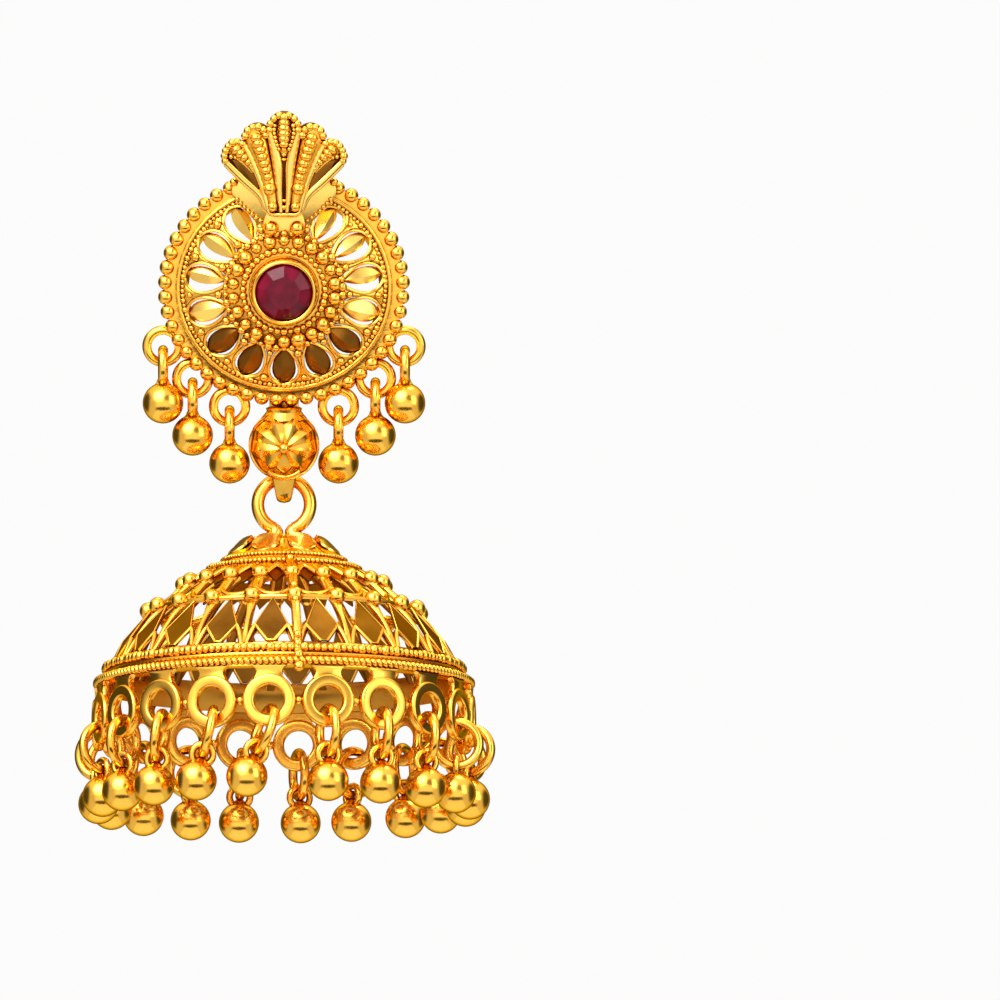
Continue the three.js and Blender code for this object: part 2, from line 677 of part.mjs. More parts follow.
// A lobed cap with a collar, and the bail soldered on the collar.
function domeCap() {
  const profile = CAP_SECTIONS.map(({ out, down }) => [out * CAP_RADIUS, CAP_TOP - down * CAP_HEIGHT]);
  const shell = turned([...profile, [0, CAP_TOP]], 2 * CAP_LOBES);
  const place = shell.getAttribute("position");
  for (let i = 0; i < place.count; i += 1) {
    const [x, y, z] = [place.getX(i), place.getY(i), place.getZ(i)];
    const lobe = Math.abs(Math.cos((CAP_LOBES / 2) * Math.atan2(x, y)));
    const share = CAP_LOBE_DEPTH * Math.min((CAP_TOP - z) / CAP_HEIGHT, 1);
    const swell = 1 - share * (1 - lobe);
    place.setXY(i, x * swell, y * swell);
  }
  const collar = new THREE.CylinderGeometry(COLLAR_RADIUS * 0.78, COLLAR_RADIUS, COLLAR_HEIGHT + 0.1, 12)
    .rotateX(Math.PI / 2)
    .translate(0, 0, CAP_TOP + COLLAR_HEIGHT / 2 - 0.05);
  const bail = frontRing(BAIL_RADIUS, BAIL_WIRE, 12, 6).translate(0, 0, -BAIL_RADIUS);
  return join(shell, collar, bail);
}

// A jump ring hung in a washer. Its origin is the foot of the washer's hole, and it stands edge on.
const JUMP_MIDDLE = JUMP_WIRE + LINK_GAP - JUMP_RADIUS;
const jumpRing = () => frontRing(JUMP_RADIUS, JUMP_WIRE).rotateZ(Math.PI / 2).translate(0, 0, JUMP_MIDDLE);

// A ball with an arched eye, hung on the jump ring's lower wire, in the same frame as the jump ring.
function ballDrop() {
  const eyeMiddle = JUMP_MIDDLE - JUMP_RADIUS + JUMP_WIRE + LINK_GAP / 2 - EYE_HOLE;
  const [inner, outer] = [EYE_HOLE, EYE_HOLE + 2 * EYE_WIRE];
  const arcPoints = (radius, steps) =>
    Array.from({ length: steps + 1 }, (_, i) => {
      const angle = (Math.PI * i) / steps;
      return [radius * Math.cos(angle), radius * Math.sin(angle)];
    });
  const legs = -DROP_BALL_BELOW_EYE + DROP_BALL_RADIUS * 0.7;
  const arch = [[outer * 0.9, legs], ...arcPoints(outer, 5), [-outer * 0.9, legs]];
  const under = [[-inner, legs], ...arcPoints(inner, 4).reverse(), [inner, legs]];
  const eye = plateXZ([...arch, ...under], -EYE_WIRE, EYE_WIRE);
  const round = ball(DROP_BALL_RADIUS).rotateX(Math.PI / 2);
  return join(eye.translate(0, 0, eyeMiddle), round.translate(0, 0, eyeMiddle - DROP_BALL_BELOW_EYE));
}

// The assembled earring

const UP = new THREE.Vector3(0, 0, 1);
const earring = new THREE.Group();

const stud = new THREE.Group();
stud.rotation.x = STUD_DROOP;
stud.add(
  node("rosette", rosette()),
  node("crest", crest()),
  node("setting", setting()),
  node("stone", stone(), stoneRed),
  node("ear_post", earPost()),
  node("flower_ball", flowerBall()),
);
earring.add(stud);

// Where a point of the upright stud comes to lie once it droops
const drooped = (point) => point.clone().applyAxisAngle(new THREE.Vector3(1, 0, 0), STUD_DROOP);

loopMiddles.forEach((middle, i) => {
  const drop = node(`stud_drop_${i + 1}`, studDrop());
  const lowerWire = drooped(middle.clone().add(new THREE.Vector3(0, 0, -LOOP_RADIUS)));
  drop.position.copy(lowerWire).add(new THREE.Vector3(0, 0, LOOP_WIRE));
  earring.add(drop);
});

const hangingDome = new THREE.Group();
hangingDome.position.copy(drooped(new THREE.Vector3(0, -HOOK_FORWARD, BALL_HEIGHT - HOOK_BELOW_BALL)));
hangingDome.add(node("dome", dome()), node("dome_cap", domeCap()));
HANG.forEach(({ turn, lean }, i) => {
  const azimuth = SEAM_AZIMUTH + (i + 0.5) * SECTOR;
  const place = new THREE.Group();
  const middle = new THREE.Vector3(0, -WASHER_RING, WASHER_MIDDLE - WASHER_HOLE);
  place.position.copy(middle.applyAxisAngle(UP, azimuth));
  place.rotation.z = azimuth;
  const hung = new THREE.Group();
  hung.rotation.y = deg(lean);
  const link = new THREE.Group();
  link.rotation.z = deg(turn);
  const number = String(i + 1).padStart(2, "0");
  link.add(node(`jump_ring_${number}`, jumpRing()), node(`ball_drop_${number}`, ballDrop()));
  hung.add(link);
  place.add(hung);
  hangingDome.add(place);
});
earring.add(hangingDome);

export default earring;
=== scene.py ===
"""A gold jhumka earring: a pierced rosette stud with a fan crest, and a bell hung with ball drops.

Shapes are drawn in millimetres, upright and about their own axis, and then put in their place in metres.
The front faces -Y. Angles round the rosette run from its foot, and angles round the bell from its front,
both towards the right.
"""

import json
import math
from math import cos, pi, radians, sin

import bmesh
import bpy
import numpy as np
from mathutils import Matrix, Vector


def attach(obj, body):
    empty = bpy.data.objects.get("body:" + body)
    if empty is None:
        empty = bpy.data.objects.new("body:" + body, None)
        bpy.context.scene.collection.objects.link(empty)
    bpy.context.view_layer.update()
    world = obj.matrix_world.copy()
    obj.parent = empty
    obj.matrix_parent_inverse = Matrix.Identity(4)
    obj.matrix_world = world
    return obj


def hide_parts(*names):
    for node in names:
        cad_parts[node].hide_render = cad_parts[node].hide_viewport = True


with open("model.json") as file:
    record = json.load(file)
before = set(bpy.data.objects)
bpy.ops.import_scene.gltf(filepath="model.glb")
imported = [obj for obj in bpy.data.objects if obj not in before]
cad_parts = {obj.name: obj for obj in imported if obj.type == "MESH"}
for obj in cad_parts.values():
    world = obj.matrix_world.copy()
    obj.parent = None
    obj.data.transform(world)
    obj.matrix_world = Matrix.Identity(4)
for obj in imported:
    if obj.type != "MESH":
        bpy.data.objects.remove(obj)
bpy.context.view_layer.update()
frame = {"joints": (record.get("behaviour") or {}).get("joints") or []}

MM = 0.001
DROOP = radians(15)
PIVOT = Vector(frame["joints"][0]["pos_m"])
STUD = Matrix.Rotation(DROOP, 4, "X") @ Matrix.Scale(MM, 4)
HUNG = Matrix.Translation(PIVOT) @ Matrix.Scale(MM, 4)
EDGE_ON = Matrix.Rotation(pi / 2, 4, "Z")
FORWARD = Matrix.Rotation(pi / 2, 4, "X")  # lays what is turned round Z along -Y

# Rosette
BORE = 2.65
PLATE_SPAN = 6.306
PLATE_OVAL = 0.945
PLATE_ROWS = [(0, 3.6), (0.2, 3.505), (0.42, 3.125), (0.68, 2.346), (0.86, 1.795), (1, 1.7)]
PLATE_WALL = 0.6
WINDOWS = 13
WINDOW_PITCH = radians(24.6)
RIM_RADIUS = 8.9
RIM_FORWARD = 1.46
RIM_BEAD = 0.56
RIM_BEADS = 42
RIM_OPEN = radians(27)  # each side of the crest
SPOKE_WIDTHS = [
    (0.2, 0.8), (0.27, 0.62), (0.34, 0.36), (0.44, 0.15), (0.56, 0.13), (0.64, 0.26), (0.7, 0.5), (0.75, 0.85),
    (0.79, 1.2),
]
# The lower leaves' dark colour is painted shade
LOWER_WINDOWS = 1.2  # the angle within which the leaves are the dark ones
LOOPS = [(24.5, 9.85), (45, 9.7), (64, 10.1)]  # degrees from the foot, and reach
LOOP_RADIUS = 1.22
LOOP_WIRE = 0.34
LOOP_FORWARD = 1.24

# Stone and setting
STONE_RADIUS = 2.08
STONE_FRONT = 4.7
SETTING_RADIUS = 2.5
SETTING_FRONT = 5.0

# Crest
CREST_FOOT = 6.0
CREST_BACK = 3.25
CREST_LOBES = [(-39.5, 6.6, 1.08), (-19.5, 6.97, 1.05), (0, 7.5, 1.15), (19.5, 6.97, 1.05), (39.5, 6.6, 1.08)]
HOLLOW = [
    (3.9, 9.95), (3.45, 9.2), (2.85, 8.55), (2.3, 8.05), (1.85, 7.65), (2.0, 8.5), (2.5, 9.3), (3.15, 9.8),
]
# Scales and beads on the lobes, as x, z, radius, and the inner ones' rise
INNER_SCALES = [
    (0.86, 6.4, 0.36, 0.5), (1.08, 7.75, 0.47, 0.55), (1.2, 8.65, 0.37, 0.4), (1.34, 9.15, 0.4, 0.3),
    (1.48, 9.65, 0.42, 0.3), (1.63, 10.15, 0.44, 0.3), (1.78, 10.65, 0.46, 0.3), (1.95, 11.15, 0.48, 0.3),
    (2.1, 11.6, 0.46, 0.3),
]
OUTER_SCALES = [(2.7, 9.75, 0.28), (2.98, 10.1, 0.34), (3.28, 10.42, 0.4), (3.58, 10.7, 0.42)]
# On the middle lobe, as z and radius
MIDDLE_SCALES = [(13.12, 0.37), (12.7, 0.44), (12.3, 0.48), (11.9, 0.48), (11.5, 0.44), (11.1, 0.38)]
SLIT_BEADS = [(10.7, 0.27), (10.3, 0.2), (9.95, 0.18), (6.85, 0.18), (6.35, 0.24)]

# Flower ball and hook
BALL_MIDDLE = Vector((0, -2.65, -11.72))
HOOK_EYE = Vector((0, -1.25, -14.42))

# Drops
BALL_DROP = 1.53
STUD_RING = 1.25
STUD_RING_WIRE = 0.38
JUMP_RADIUS = 1.68
JUMP_WIRE = 0.35
EYE_RADIUS = 0.78
EYE_WIRE = 0.26
LINK_GAP = 0.2

# Bell, about its own axis and from the middle of the bail's top wire
SECTORS = 20
SECTOR = 2 * pi / SECTORS
HALF_CELL = SECTOR / 2
SEAM = radians(4.5)
BELL_TOP = -6.44
BELL_HEIGHT = 10.25
BELL_ROWS = [
    (0, 4.2), (0.078, 6.2), (0.185, 7.85), (0.268, 8.85), (0.36, 10.0), (0.455, 11.0),
    (0.6, 12.15), (0.717, 12.8), (0.78, 13.15), (0.84, 13.5), (0.9, 13.85), (1, 14.1), (1.4, 14.1),
]
RIB_WIDTHS = [
    (0.0, 0.6), (0.08, 0.62), (0.14, 0.42), (0.22, 0.4), (0.28, 0.42), (0.34, 0.5), (0.4, 0.4), (0.47, 0.24),
    (0.6, 0.2), (0.68, 0.28), (0.75, 0.5),
]
KNOT_AT = 0.372
# The band and its inner side, as radius and share of the bell's height
BAND_ROWS = [
    (12.8, 0.735), (13.1, 0.745), (13.2, 0.79), (13.3, 0.83), (13.65, 0.86), (13.95, 0.895), (13.95, 0.925),
    (13.6, 0.935), (13.2, 0.89), (12.8, 0.82), (12.6, 0.76),
]
LINING_ROWS = [
    (12.7, 0.735), (12.75, 0.77), (12.9, 0.82), (13.3, 0.89), (13.62, 0.93), (13.5, 0.94), (13.12, 0.895),
    (12.74, 0.825), (12.53, 0.765), (12.6, 0.735),
]
WASHER_RADIUS = 2.0
WASHER_HOLE = 1.1
WASHER_RING = 13.955
WASHER_MIDDLE = -18.51
BAIL_RADIUS = 1.97
BAIL_WIRE = 0.48
CAP_TOP = -4.64
CAP_ROWS = [
    (0.9, 0.02), (1.6, 0.0), (2.3, -0.02), (2.8, -0.1), (3.15, -0.3), (3.7, -0.72), (4.25, -1.15),
    (4.6, -1.45), (4.68, -1.6), (4.6, -1.74), (4.2, -1.75), (3.3, -1.2), (2.4, -0.75), (0.9, -0.7),
]
# How each rim drop hangs, from the first washer right of the seam round to the right:
# the turn of its ring about the vertical, and its lean, in degrees
HANG = [
    (8, 0), (-14, 2), (-26, 2), (22, 4), (-18, 5), (24, 3), (-20, -2), (15, 2), (-28, -3), (20, 2),
    (-12, -2), (26, 3), (-22, 0), (18, -3), (-25, 2), (20, -2), (24, 3), (28, 9), (26, 15), (22, 20),
]


# Node trees


def node(tree, kind, inputs=None, **settings):
    """The outputs of a new node, whose inputs are given as values or as the sockets that feed them."""
    made = tree.nodes.new(kind)
    for name, value in settings.items():
        setattr(made, name, value)
    for name, value in (inputs or {}).items():
        if isinstance(value, bpy.types.NodeSocket):
            tree.links.new(value, made.inputs[name])
        else:
            made.inputs[name].default_value = value
    return made.outputs


def maths(tree, operation, *values):
    return node(tree, "ShaderNodeMath", dict(enumerate(values)), operation=operation)[0]


def mixed(tree, blend, share, first, second):
    """Two colours mixed."""
    inputs = {0: share, 6: first, 7: second}
    return node(tree, "ShaderNodeMix", inputs, data_type="RGBA", blend_type=blend)[2]


def ramp(tree, value, stops):
    """A colour that goes from stop to stop with a value. A stop is a position and a colour."""
    made = tree.nodes.new("ShaderNodeValToRGB")
    elements = made.color_ramp.elements
    elements[0].position, elements[1].position = stops[0][0], stops[-1][0]
    for position, _ in stops[1:-1]:
        elements.new(position)
    for element, (_, colour) in zip(elements, stops):
        element.color = (*colour, 1)
    tree.links.new(value, made.inputs["Fac"])
    return made.outputs["Color"]


def new_group(name, kind, inputs, outputs):
    """A node group, the sockets that its inputs come from, and those that its outputs go to."""
    tree = bpy.data.node_groups.new(name, kind)
    for way, sockets in [("INPUT", inputs), ("OUTPUT", outputs)]:
        for label, holds, *default in sockets:
            socket = tree.interface.new_socket(label, in_out=way, socket_type="NodeSocket" + holds)
            if default:
                socket.default_value = default[0]
    return tree, tree.nodes.new("NodeGroupInput").outputs, tree.nodes.new("NodeGroupOutput").inputs


# Studio: the sky's tone by height, from straight down to straight up, and the cards round the object. A card
# has a direction, the cosines at its outer and inner edge, and a tint, which is pale over 1 and dark under 1.
SKY = [
    (0.0, 0.75), (0.18, 0.8), (0.36, 0.74), (0.5, 0.7), (0.57, 0.8), (0.68, 0.66), (0.85, 1.15), (1.0, 1.35),
]
LOW_BAND = [(0.766 * sin(radians(a)), -0.766 * cos(radians(a)), -0.643) for a in (-36, -18, 0, 18, 36)]
CARDS = [(way, 0.966, 0.989, 0.06) for way in LOW_BAND] + [
    ((0.0, -0.97, -0.2), 0.6, 0.93, 1.8), ((-0.38, -0.74, 0.55), 0.78, 0.97, 3.0),
    ((-0.9, 0.35, 0.1), 0.8, 0.93, 0.1), ((0.9, 0.3, 0.05), 0.8, 0.93, 0.1),
    ((0, 1, 0.1), 0.7, 0.9, 0.25), ((0.35, -0.8, 0.35), 0.93, 0.98, 0.3),
]


# Materials


FINISH = ("Roughness", "Unevenness", "Waviness", "Scale")


def polish_group():
    """Fine wheel marks and the soft unevenness of a polished casting."""
    tree, given, made = new_group(
        "Polish", "ShaderNodeTree",
        [(label, "Float", value) for label, value in zip(FINISH, (0.15, 0.05, 0.1, 900.0))],
        [("Roughness", "Float"), ("Tone", "Float"), ("Normal", "Vector")],
    )
    place = node(tree, "ShaderNodeTexCoord")["Object"]
    soft = node(tree, "ShaderNodeTexNoise", {"Vector": place, "Scale": given["Scale"], "Detail": 4})["Fac"]
    fine = node(tree, "ShaderNodeTexNoise", {"Vector": place, "Scale": 5200, "Detail": 2})["Fac"]
    off_middle = maths(tree, "SUBTRACT", soft, 0.5)
    marks = maths(tree, "MULTIPLY_ADD", fine, 0.12, soft)
    bump = node(tree, "ShaderNodeBump", {"Distance": 0.00006, "Strength": given["Waviness"], "Height": marks})
    rough = maths(tree, "MULTIPLY_ADD", off_middle, given["Unevenness"], given["Roughness"])
    for label, value in [("Roughness", rough), ("Tone", soft), ("Normal", bump["Normal"])]:
        tree.links.new(value, made[label])
    return tree


def polished(name, finish, values):
    """A material with the Polish group set to a finish, and plain values on its shader."""
    material = bpy.data.materials.new(name)
    material.use_nodes = True
    tree = material.node_tree
    shader = tree.nodes["Principled BSDF"].inputs
    for label, value in values.items():
        shader[label].default_value = value
    surface = node(tree, "ShaderNodeGroup", dict(zip(FINISH, finish)), node_tree=POLISH)
    tree.links.new(surface["Roughness"], shader["Roughness"])
    return material, tree, shader, surface


def metal(name, bright, deep, finish, reach=0.0006, mottling=0.15):
    """Polished gold with painted shade: ambient occlusion mixes a warmer, darker colour into its recesses."""
    plain = {"Metallic": 1, "Specular Tint": (0.85, 0.5, 0.15, 1)}
    material, tree, shader, surface = polished(name, finish, plain)
    # Painted shade: where ambient occlusion finds corners, creases and gaps between parts, the colour goes
    # over to the deep one
    shade = node(tree, "ShaderNodeAmbientOcclusion", {"Distance": reach}, samples=6)["AO"]
    painted_shade_share = node(tree, "ShaderNodeMapRange", {"Value": shade, "From Min": 0.25, "From Max": 0.85})["Result"]
    colour = mixed(tree, "MIX", painted_shade_share, (*deep, 1), (*bright, 1))
    tree.links.new(mixed(tree, "SOFT_LIGHT", mottling, colour, surface["Tone"]), shader["Base Color"])
    tree.links.new(surface["Normal"], shader["Normal"])
    return material


def red_glass():
    material, tree, shader, surface = polished("Red stone", (0.04, 0.02, 0.01, 700), {
        "Metallic": 0, "IOR": 1.6, "Specular IOR Level": 0.16,
        "Subsurface Weight": 0.1, "Subsurface Scale": 0.0004,
    })
    tree.links.new(ramp(tree, surface["Tone"], [(0.35, DEEP_RED), (0.7, LIGHT_RED)]), shader["Base Color"])
    return material


# The two colours of a metal: on its open faces, and the painted shade that darkens its recesses
YELLOW, GOLD_RECESS_SHADE = (1.0, 0.53, 0.07), (0.45, 0.19, 0.016)
LEMON, LIGHT_RECESS_SHADE = (1.0, 0.62, 0.13), (0.9, 0.46, 0.06)
BROWN, BROWN_RECESS_SHADE = (0.22, 0.085, 0.01), (0.13, 0.045, 0.005)
DEEP_RED, LIGHT_RED = (0.055, 0.0, 0.004), (0.17, 0.0, 0.016)

POLISH = polish_group()
GOLD = metal("Polished gold", YELLOW, GOLD_RECESS_SHADE, (0.19, 0.08, 0.2, 700))
CAST = metal("Cast gold", YELLOW, (0.34, 0.13, 0.009), (0.21, 0.1, 0.5, 1500), 0.0004)
# Painted light: a paler gold on the seat, the crest's bands, the cap's petals and the upper leaves, for the
# light they catch
PAINTED_LIGHT_GOLD = metal("Gold with painted light", LEMON, LIGHT_RECESS_SHADE, (0.2, 0.08, 0.15, 700), 0.0003)
# A brown gold; on the bell's rib linings and the rosette's lower leaves it is painted shade
BROWN_GOLD = metal("Brown gold", BROWN, BROWN_RECESS_SHADE, (0.32, 0.3, 0.5, 420), 0.0005, 0.8)
# Painted shade: a darker gold for the band's inner face, toned to how dark it looks from the front
INNER_SHADE_GOLD = metal("Inner gold with painted shade", (0.55, 0.25, 0.03), (0.3, 0.12, 0.012), (0.3, 0.2, 0.5, 420), 0.0005, 0.6)
RED = red_glass()


# Plain forms. A form is its corners, as an array, and its faces.


def joined(*forms):
    corners, faces, start = [], [], 0
    for points, polygons in forms:
        corners.append(np.asarray(points, float))
        faces += [tuple(i + start for i in polygon) for polygon in polygons]
        start += len(points)
    return np.vstack(corners), faces


def moved(form, matrix):
    points, faces = form
    return np.asarray(points) @ np.array(matrix.to_3x3()).T + np.array(matrix.to_translation()), faces


def shifted(form, x=0.0, y=0.0, z=0.0):
    return moved(form, Matrix.Translation((x, y, z)))


def unit(vectors):
    return vectors / np.maximum(np.linalg.norm(vectors, axis=-1, keepdims=True), 1e-12)


def grid_faces(rows, columns, wrap_rows=False, wrap_columns=True):
    faces = []
    for i in range(rows if wrap_rows else rows - 1):
        for j in range(columns if wrap_columns else columns - 1):
            a, b = i * columns + j, i * columns + (j + 1) % columns
            c, d = ((i + 1) % rows) * columns + j, ((i + 1) % rows) * columns + (j + 1) % columns
            faces.append((a, b, d, c))
    return faces


def stacked(rows, closed=False):
    """Rows of points joined one to the next, and capped at both ends unless they close on themselves."""
    count, last = len(rows[0]), (len(rows) - 1) * len(rows[0])
    faces = grid_faces(len(rows), count, wrap_rows=closed)
    if not closed:
        faces += [tuple(range(count))[::-1], tuple(range(last, last + count))]
    return np.vstack(rows), faces


def swept(path, side, up, sections, closed=False):
    """Sections laid along a path. A section is points given as steps along side and up."""
    path, side, up = (np.asarray(value, float) for value in (path, side, up))
    rows = [p + np.outer(s[:, 0], a) + np.outer(s[:, 1], b) for p, a, b, s in zip(path, side, up, sections)]
    return stacked(rows, closed)


def round_section(half_width, half_height, sides=10, squareness=2.0):
    angles = np.arange(sides) * 2 * pi / sides
    c, s = np.cos(angles), np.sin(angles)
    power = 2 / squareness
    return np.column_stack(
        [half_width * np.sign(c) * np.abs(c) ** power, half_height * np.sign(s) * np.abs(s) ** power]
    )


def directions(path, closed=False):
    if closed:
        return unit(np.roll(path, -1, axis=0) - np.roll(path, 1, axis=0))
    return unit(np.gradient(path, axis=0))


def wire(path, radius, sides=10, closed=False, hint=(0, 1, 0)):
    path = np.asarray(path, float)
    along = directions(path, closed)
    up = np.tile(np.asarray(hint, float), (len(path), 1))
    up = unit(up - along * np.sum(up * along, axis=1, keepdims=True))
    side = np.cross(up, along)
    radii = np.broadcast_to(radius, len(path))
    return swept(path, side, up, [round_section(r, r, sides) for r in radii], closed)


def ring_path(radius, steps, start=0.0, end=2 * pi):
    """A circle in the XZ plane, from its foot towards +X."""
    angles = np.linspace(start, end, steps, endpoint=end - start < 2 * pi - 1e-6)
    return np.column_stack([radius * np.sin(angles), np.zeros(steps), -radius * np.cos(angles)])


def hoop(radius, wire_radius, steps=40, sides=12):
    return wire(ring_path(radius, steps), wire_radius, sides, closed=True)


def turned(profile, steps=64, loop=True):
    """A profile of radius and height turned round Z. It is a closed loop, or ends on the axis twice."""
    profile = np.asarray(profile, float)
    angles = np.arange(steps) * 2 * pi / steps
    points = np.vstack([
        np.column_stack([profile[:, 0] * sin(a), -profile[:, 0] * cos(a), profile[:, 1]]) for a in angles
    ])
    return points, grid_faces(steps, len(profile), wrap_rows=True, wrap_columns=loop)


def rounded(points, cut=0.1, steps=3):
    """A closed outline with its corners rounded."""
    points = [np.asarray(p, float) for p in points]
    made = []
    for i, corner in enumerate(points):
        before, after = points[i - 1], points[(i + 1) % len(points)]
        reach = min(cut, np.linalg.norm(before - corner) / 2.01, np.linalg.norm(after - corner) / 2.01)
        a = corner + (before - corner) / np.linalg.norm(before - corner) * reach
        b = corner + (after - corner) / np.linalg.norm(after - corner) * reach
        for t in np.linspace(0, 1, steps):
            made.append((1 - t) ** 2 * a + 2 * t * (1 - t) * corner + t**2 * b)
    return np.array(made)


def slab(outline, back, front, edge=0.12):
    """An outline in X and Z, counter-clockwise from the front, made solid between two depths. Its front edge
    is rounded."""
    outline = np.asarray(outline, float)
    away = unit(outline - outline.mean(axis=0))
    rows = []
    for y, inset in [(back, 0), (front + edge, 0), (front + edge * 0.3, edge * 0.3), (front, edge)]:
        x, z = (outline - away * inset).T
        rows.append(np.column_stack([x, np.full(len(x), y), z]))
    return stacked(rows)


def globe(radius, middle=(0, 0, 0), columns=40, rows=22):
    heights = np.linspace(0, pi, rows + 1)
    profile = np.column_stack([radius * np.sin(heights), -radius * np.cos(heights)])
    return shifted(turned(profile, columns, loop=False), *middle)


def dots(points):
    """A tiny line at each point, for one bead each."""
    return [np.array([(x, y, z), (x + 0.01, y, z)]) for x, y, z in points]


def smooth_curve(rows):
    """A smooth curve through rows of (v, value), as a function of v."""
    v = np.array([row[0] for row in rows], float)
    value = np.array([row[1] for row in rows], float)
    slope = np.gradient(value, v)

    def at(x):
        x = np.clip(np.asarray(x, float), v[0], v[-1])
        i = np.clip(np.searchsorted(v, x) - 1, 0, len(v) - 2)
        span = v[i + 1] - v[i]
        t = (x - v[i]) / span
        return (
            (2 * t**3 - 3 * t**2 + 1) * value[i] + (t**3 - 2 * t**2 + t) * span * slope[i]
            + (-2 * t**3 + 3 * t**2) * value[i + 1] + (t**3 - t**2) * span * slope[i + 1]
        )

    return at


class Surface:
    """A surface turned round an axis. A point on it has an angle, a share v of its section and a lift."""

    def __init__(self, radius_at, height_at, place):
        self.radius_at, self.height_at, self.place = radius_at, height_at, place

    def point(self, angle, v, lift=0.0):
        step = 1e-3
        r, h = self.radius_at(v), self.height_at(v)
        dr = self.radius_at(v + step) - self.radius_at(v - step)
        dh = self.height_at(v + step) - self.height_at(v - step)
        run = np.maximum(np.hypot(dr, dh), 1e-9)
        return self.place(angle, r - lift * dh / run, h + lift * dr / run)

    def frame_at(self, angle, v, lift):
        here = self.point(angle, v, lift)
        up = unit(self.point(angle, v, lift + 0.05) - here)
        return here, up

    def bar(self, stations, sides=12, squareness=3.0):
        """A bar laid on the surface. Each station is angle, v, half width, half height and lift."""
        angle, v, half_width, half_height, lift = np.array(stations, float).T
        path, up = self.frame_at(angle, v, lift)
        along = directions(path)
        up = unit(up - along * np.sum(up * along, axis=1, keepdims=True))
        side = np.cross(up, along)
        sections = [round_section(w, h, sides, squareness) for w, h in zip(half_width, half_height)]
        return swept(path, side, up, sections)

    def tile(self, outline, half_thickness, lift=0.0, edge=0.08):
        """A flat-topped plate with the given corners (angle, v), counter-clockwise from outside."""
        outline = np.asarray(outline, float)
        middle = outline.mean(axis=0)
        rows = []
        for share, rise in [(1, -half_thickness), (1, half_thickness - edge), (1 - edge, half_thickness)]:
            corners = middle + (outline - middle) * share
            rows.append(self.point(corners[:, 0], corners[:, 1], lift + rise))
        return stacked(rows)

    def ring(self, v, lift, steps=200, start=0.0, end=2 * pi):
        angles = np.linspace(start, end, steps, endpoint=end - start < 2 * pi - 1e-6)
        return self.point(angles, np.full(steps, v), lift)

    def dot(self, angle, v, lift):
        """A tiny line, for one bead."""
        return self.point(np.array([angle, angle]), np.array([v, v + 0.001]), lift)


def round_bell(angle, r, h):
    return np.stack([r * np.sin(angle), -r * np.cos(angle), h + 0 * r], axis=-1)


def round_rosette(angle, r, h):
    out = np.clip((r - BORE) / (RIM_RADIUS - BORE), 0, 1)
    oval = 1 + (PLATE_OVAL - 1) * out
    return np.stack([r * np.sin(angle), -h + 0 * r, -r * np.cos(angle) * oval], axis=-1)


BELL = Surface(smooth_curve(BELL_ROWS), lambda v: BELL_TOP - np.asarray(v) * BELL_HEIGHT, round_bell)
PLATE = Surface(lambda v: BORE + np.asarray(v) * PLATE_SPAN, smooth_curve(PLATE_ROWS), round_rosette)


# Geometry node trees for what repeats


def repeat_tree(name, inputs):
    whole, paint = ("Geometry", "Geometry"), ("Material", "Material")
    tree, given, made = new_group(name, "GeometryNodeTree", [whole, *inputs, paint], [whole])
    tree.is_modifier = True
    return tree, given, made


def lay(tree, given, made, **inputs):
    """Copies on points, made real and given the tree's material."""
    copies = node(tree, "GeometryNodeInstanceOnPoints", inputs)["Instances"]
    whole = node(tree, "GeometryNodeRealizeInstances", {"Geometry": copies})["Geometry"]
    painted = node(tree, "GeometryNodeSetMaterial", {"Geometry": whole, "Material": given["Material"]})
    tree.links.new(painted["Geometry"], made["Geometry"])
    return tree


def granules_tree():
    """Beads soldered in a row along each line of the source."""
    tree, given, made = repeat_tree("Granules", [
        ("Radius", "Float", 0.3), ("Spacing", "Float", 0.6), ("Unevenness", "Float", 0.08),
        ("Length", "Float", 1.0), ("Tilt", "Float", 0.0), ("Detail", "Int", 2), ("Seed", "Int", 1),
    ])
    line = node(tree, "GeometryNodeMeshToCurve", {"Mesh": given["Geometry"]})["Curve"]
    row = node(tree, "GeometryNodeCurveToPoints", {"Curve": line, "Length": given["Spacing"]}, mode="LENGTH")
    ball = node(tree, "GeometryNodeMeshIcoSphere", {"Radius": 1.0, "Subdivisions": given["Detail"]})["Mesh"]
    granule = node(tree, "GeometryNodeSetShadeSmooth", {"Geometry": ball})["Geometry"]
    low, high = (maths(tree, operation, 1.0, given["Unevenness"]) for operation in ("SUBTRACT", "ADD"))
    chance = node(tree, "FunctionNodeRandomValue", {2: low, 3: high, "Seed": given["Seed"]}, data_type="FLOAT")
    size = maths(tree, "MULTIPLY", chance[1], given["Radius"])
    length = maths(tree, "MULTIPLY", size, given["Length"])
    scale = node(tree, "ShaderNodeCombineXYZ", {"X": size, "Y": size, "Z": length})["Vector"]
    tilt = node(tree, "FunctionNodeAxisAngleToRotation", {"Axis": (1, 0, 0), "Angle": given["Tilt"]})
    turns = {"Rotation": row["Rotation"], "Rotate By": tilt["Rotation"]}
    turn = node(tree, "FunctionNodeRotateRotation", turns, rotation_space="LOCAL")["Rotation"]
    return lay(tree, given, made, Points=row["Points"], Instance=granule, Rotation=turn, Scale=scale)


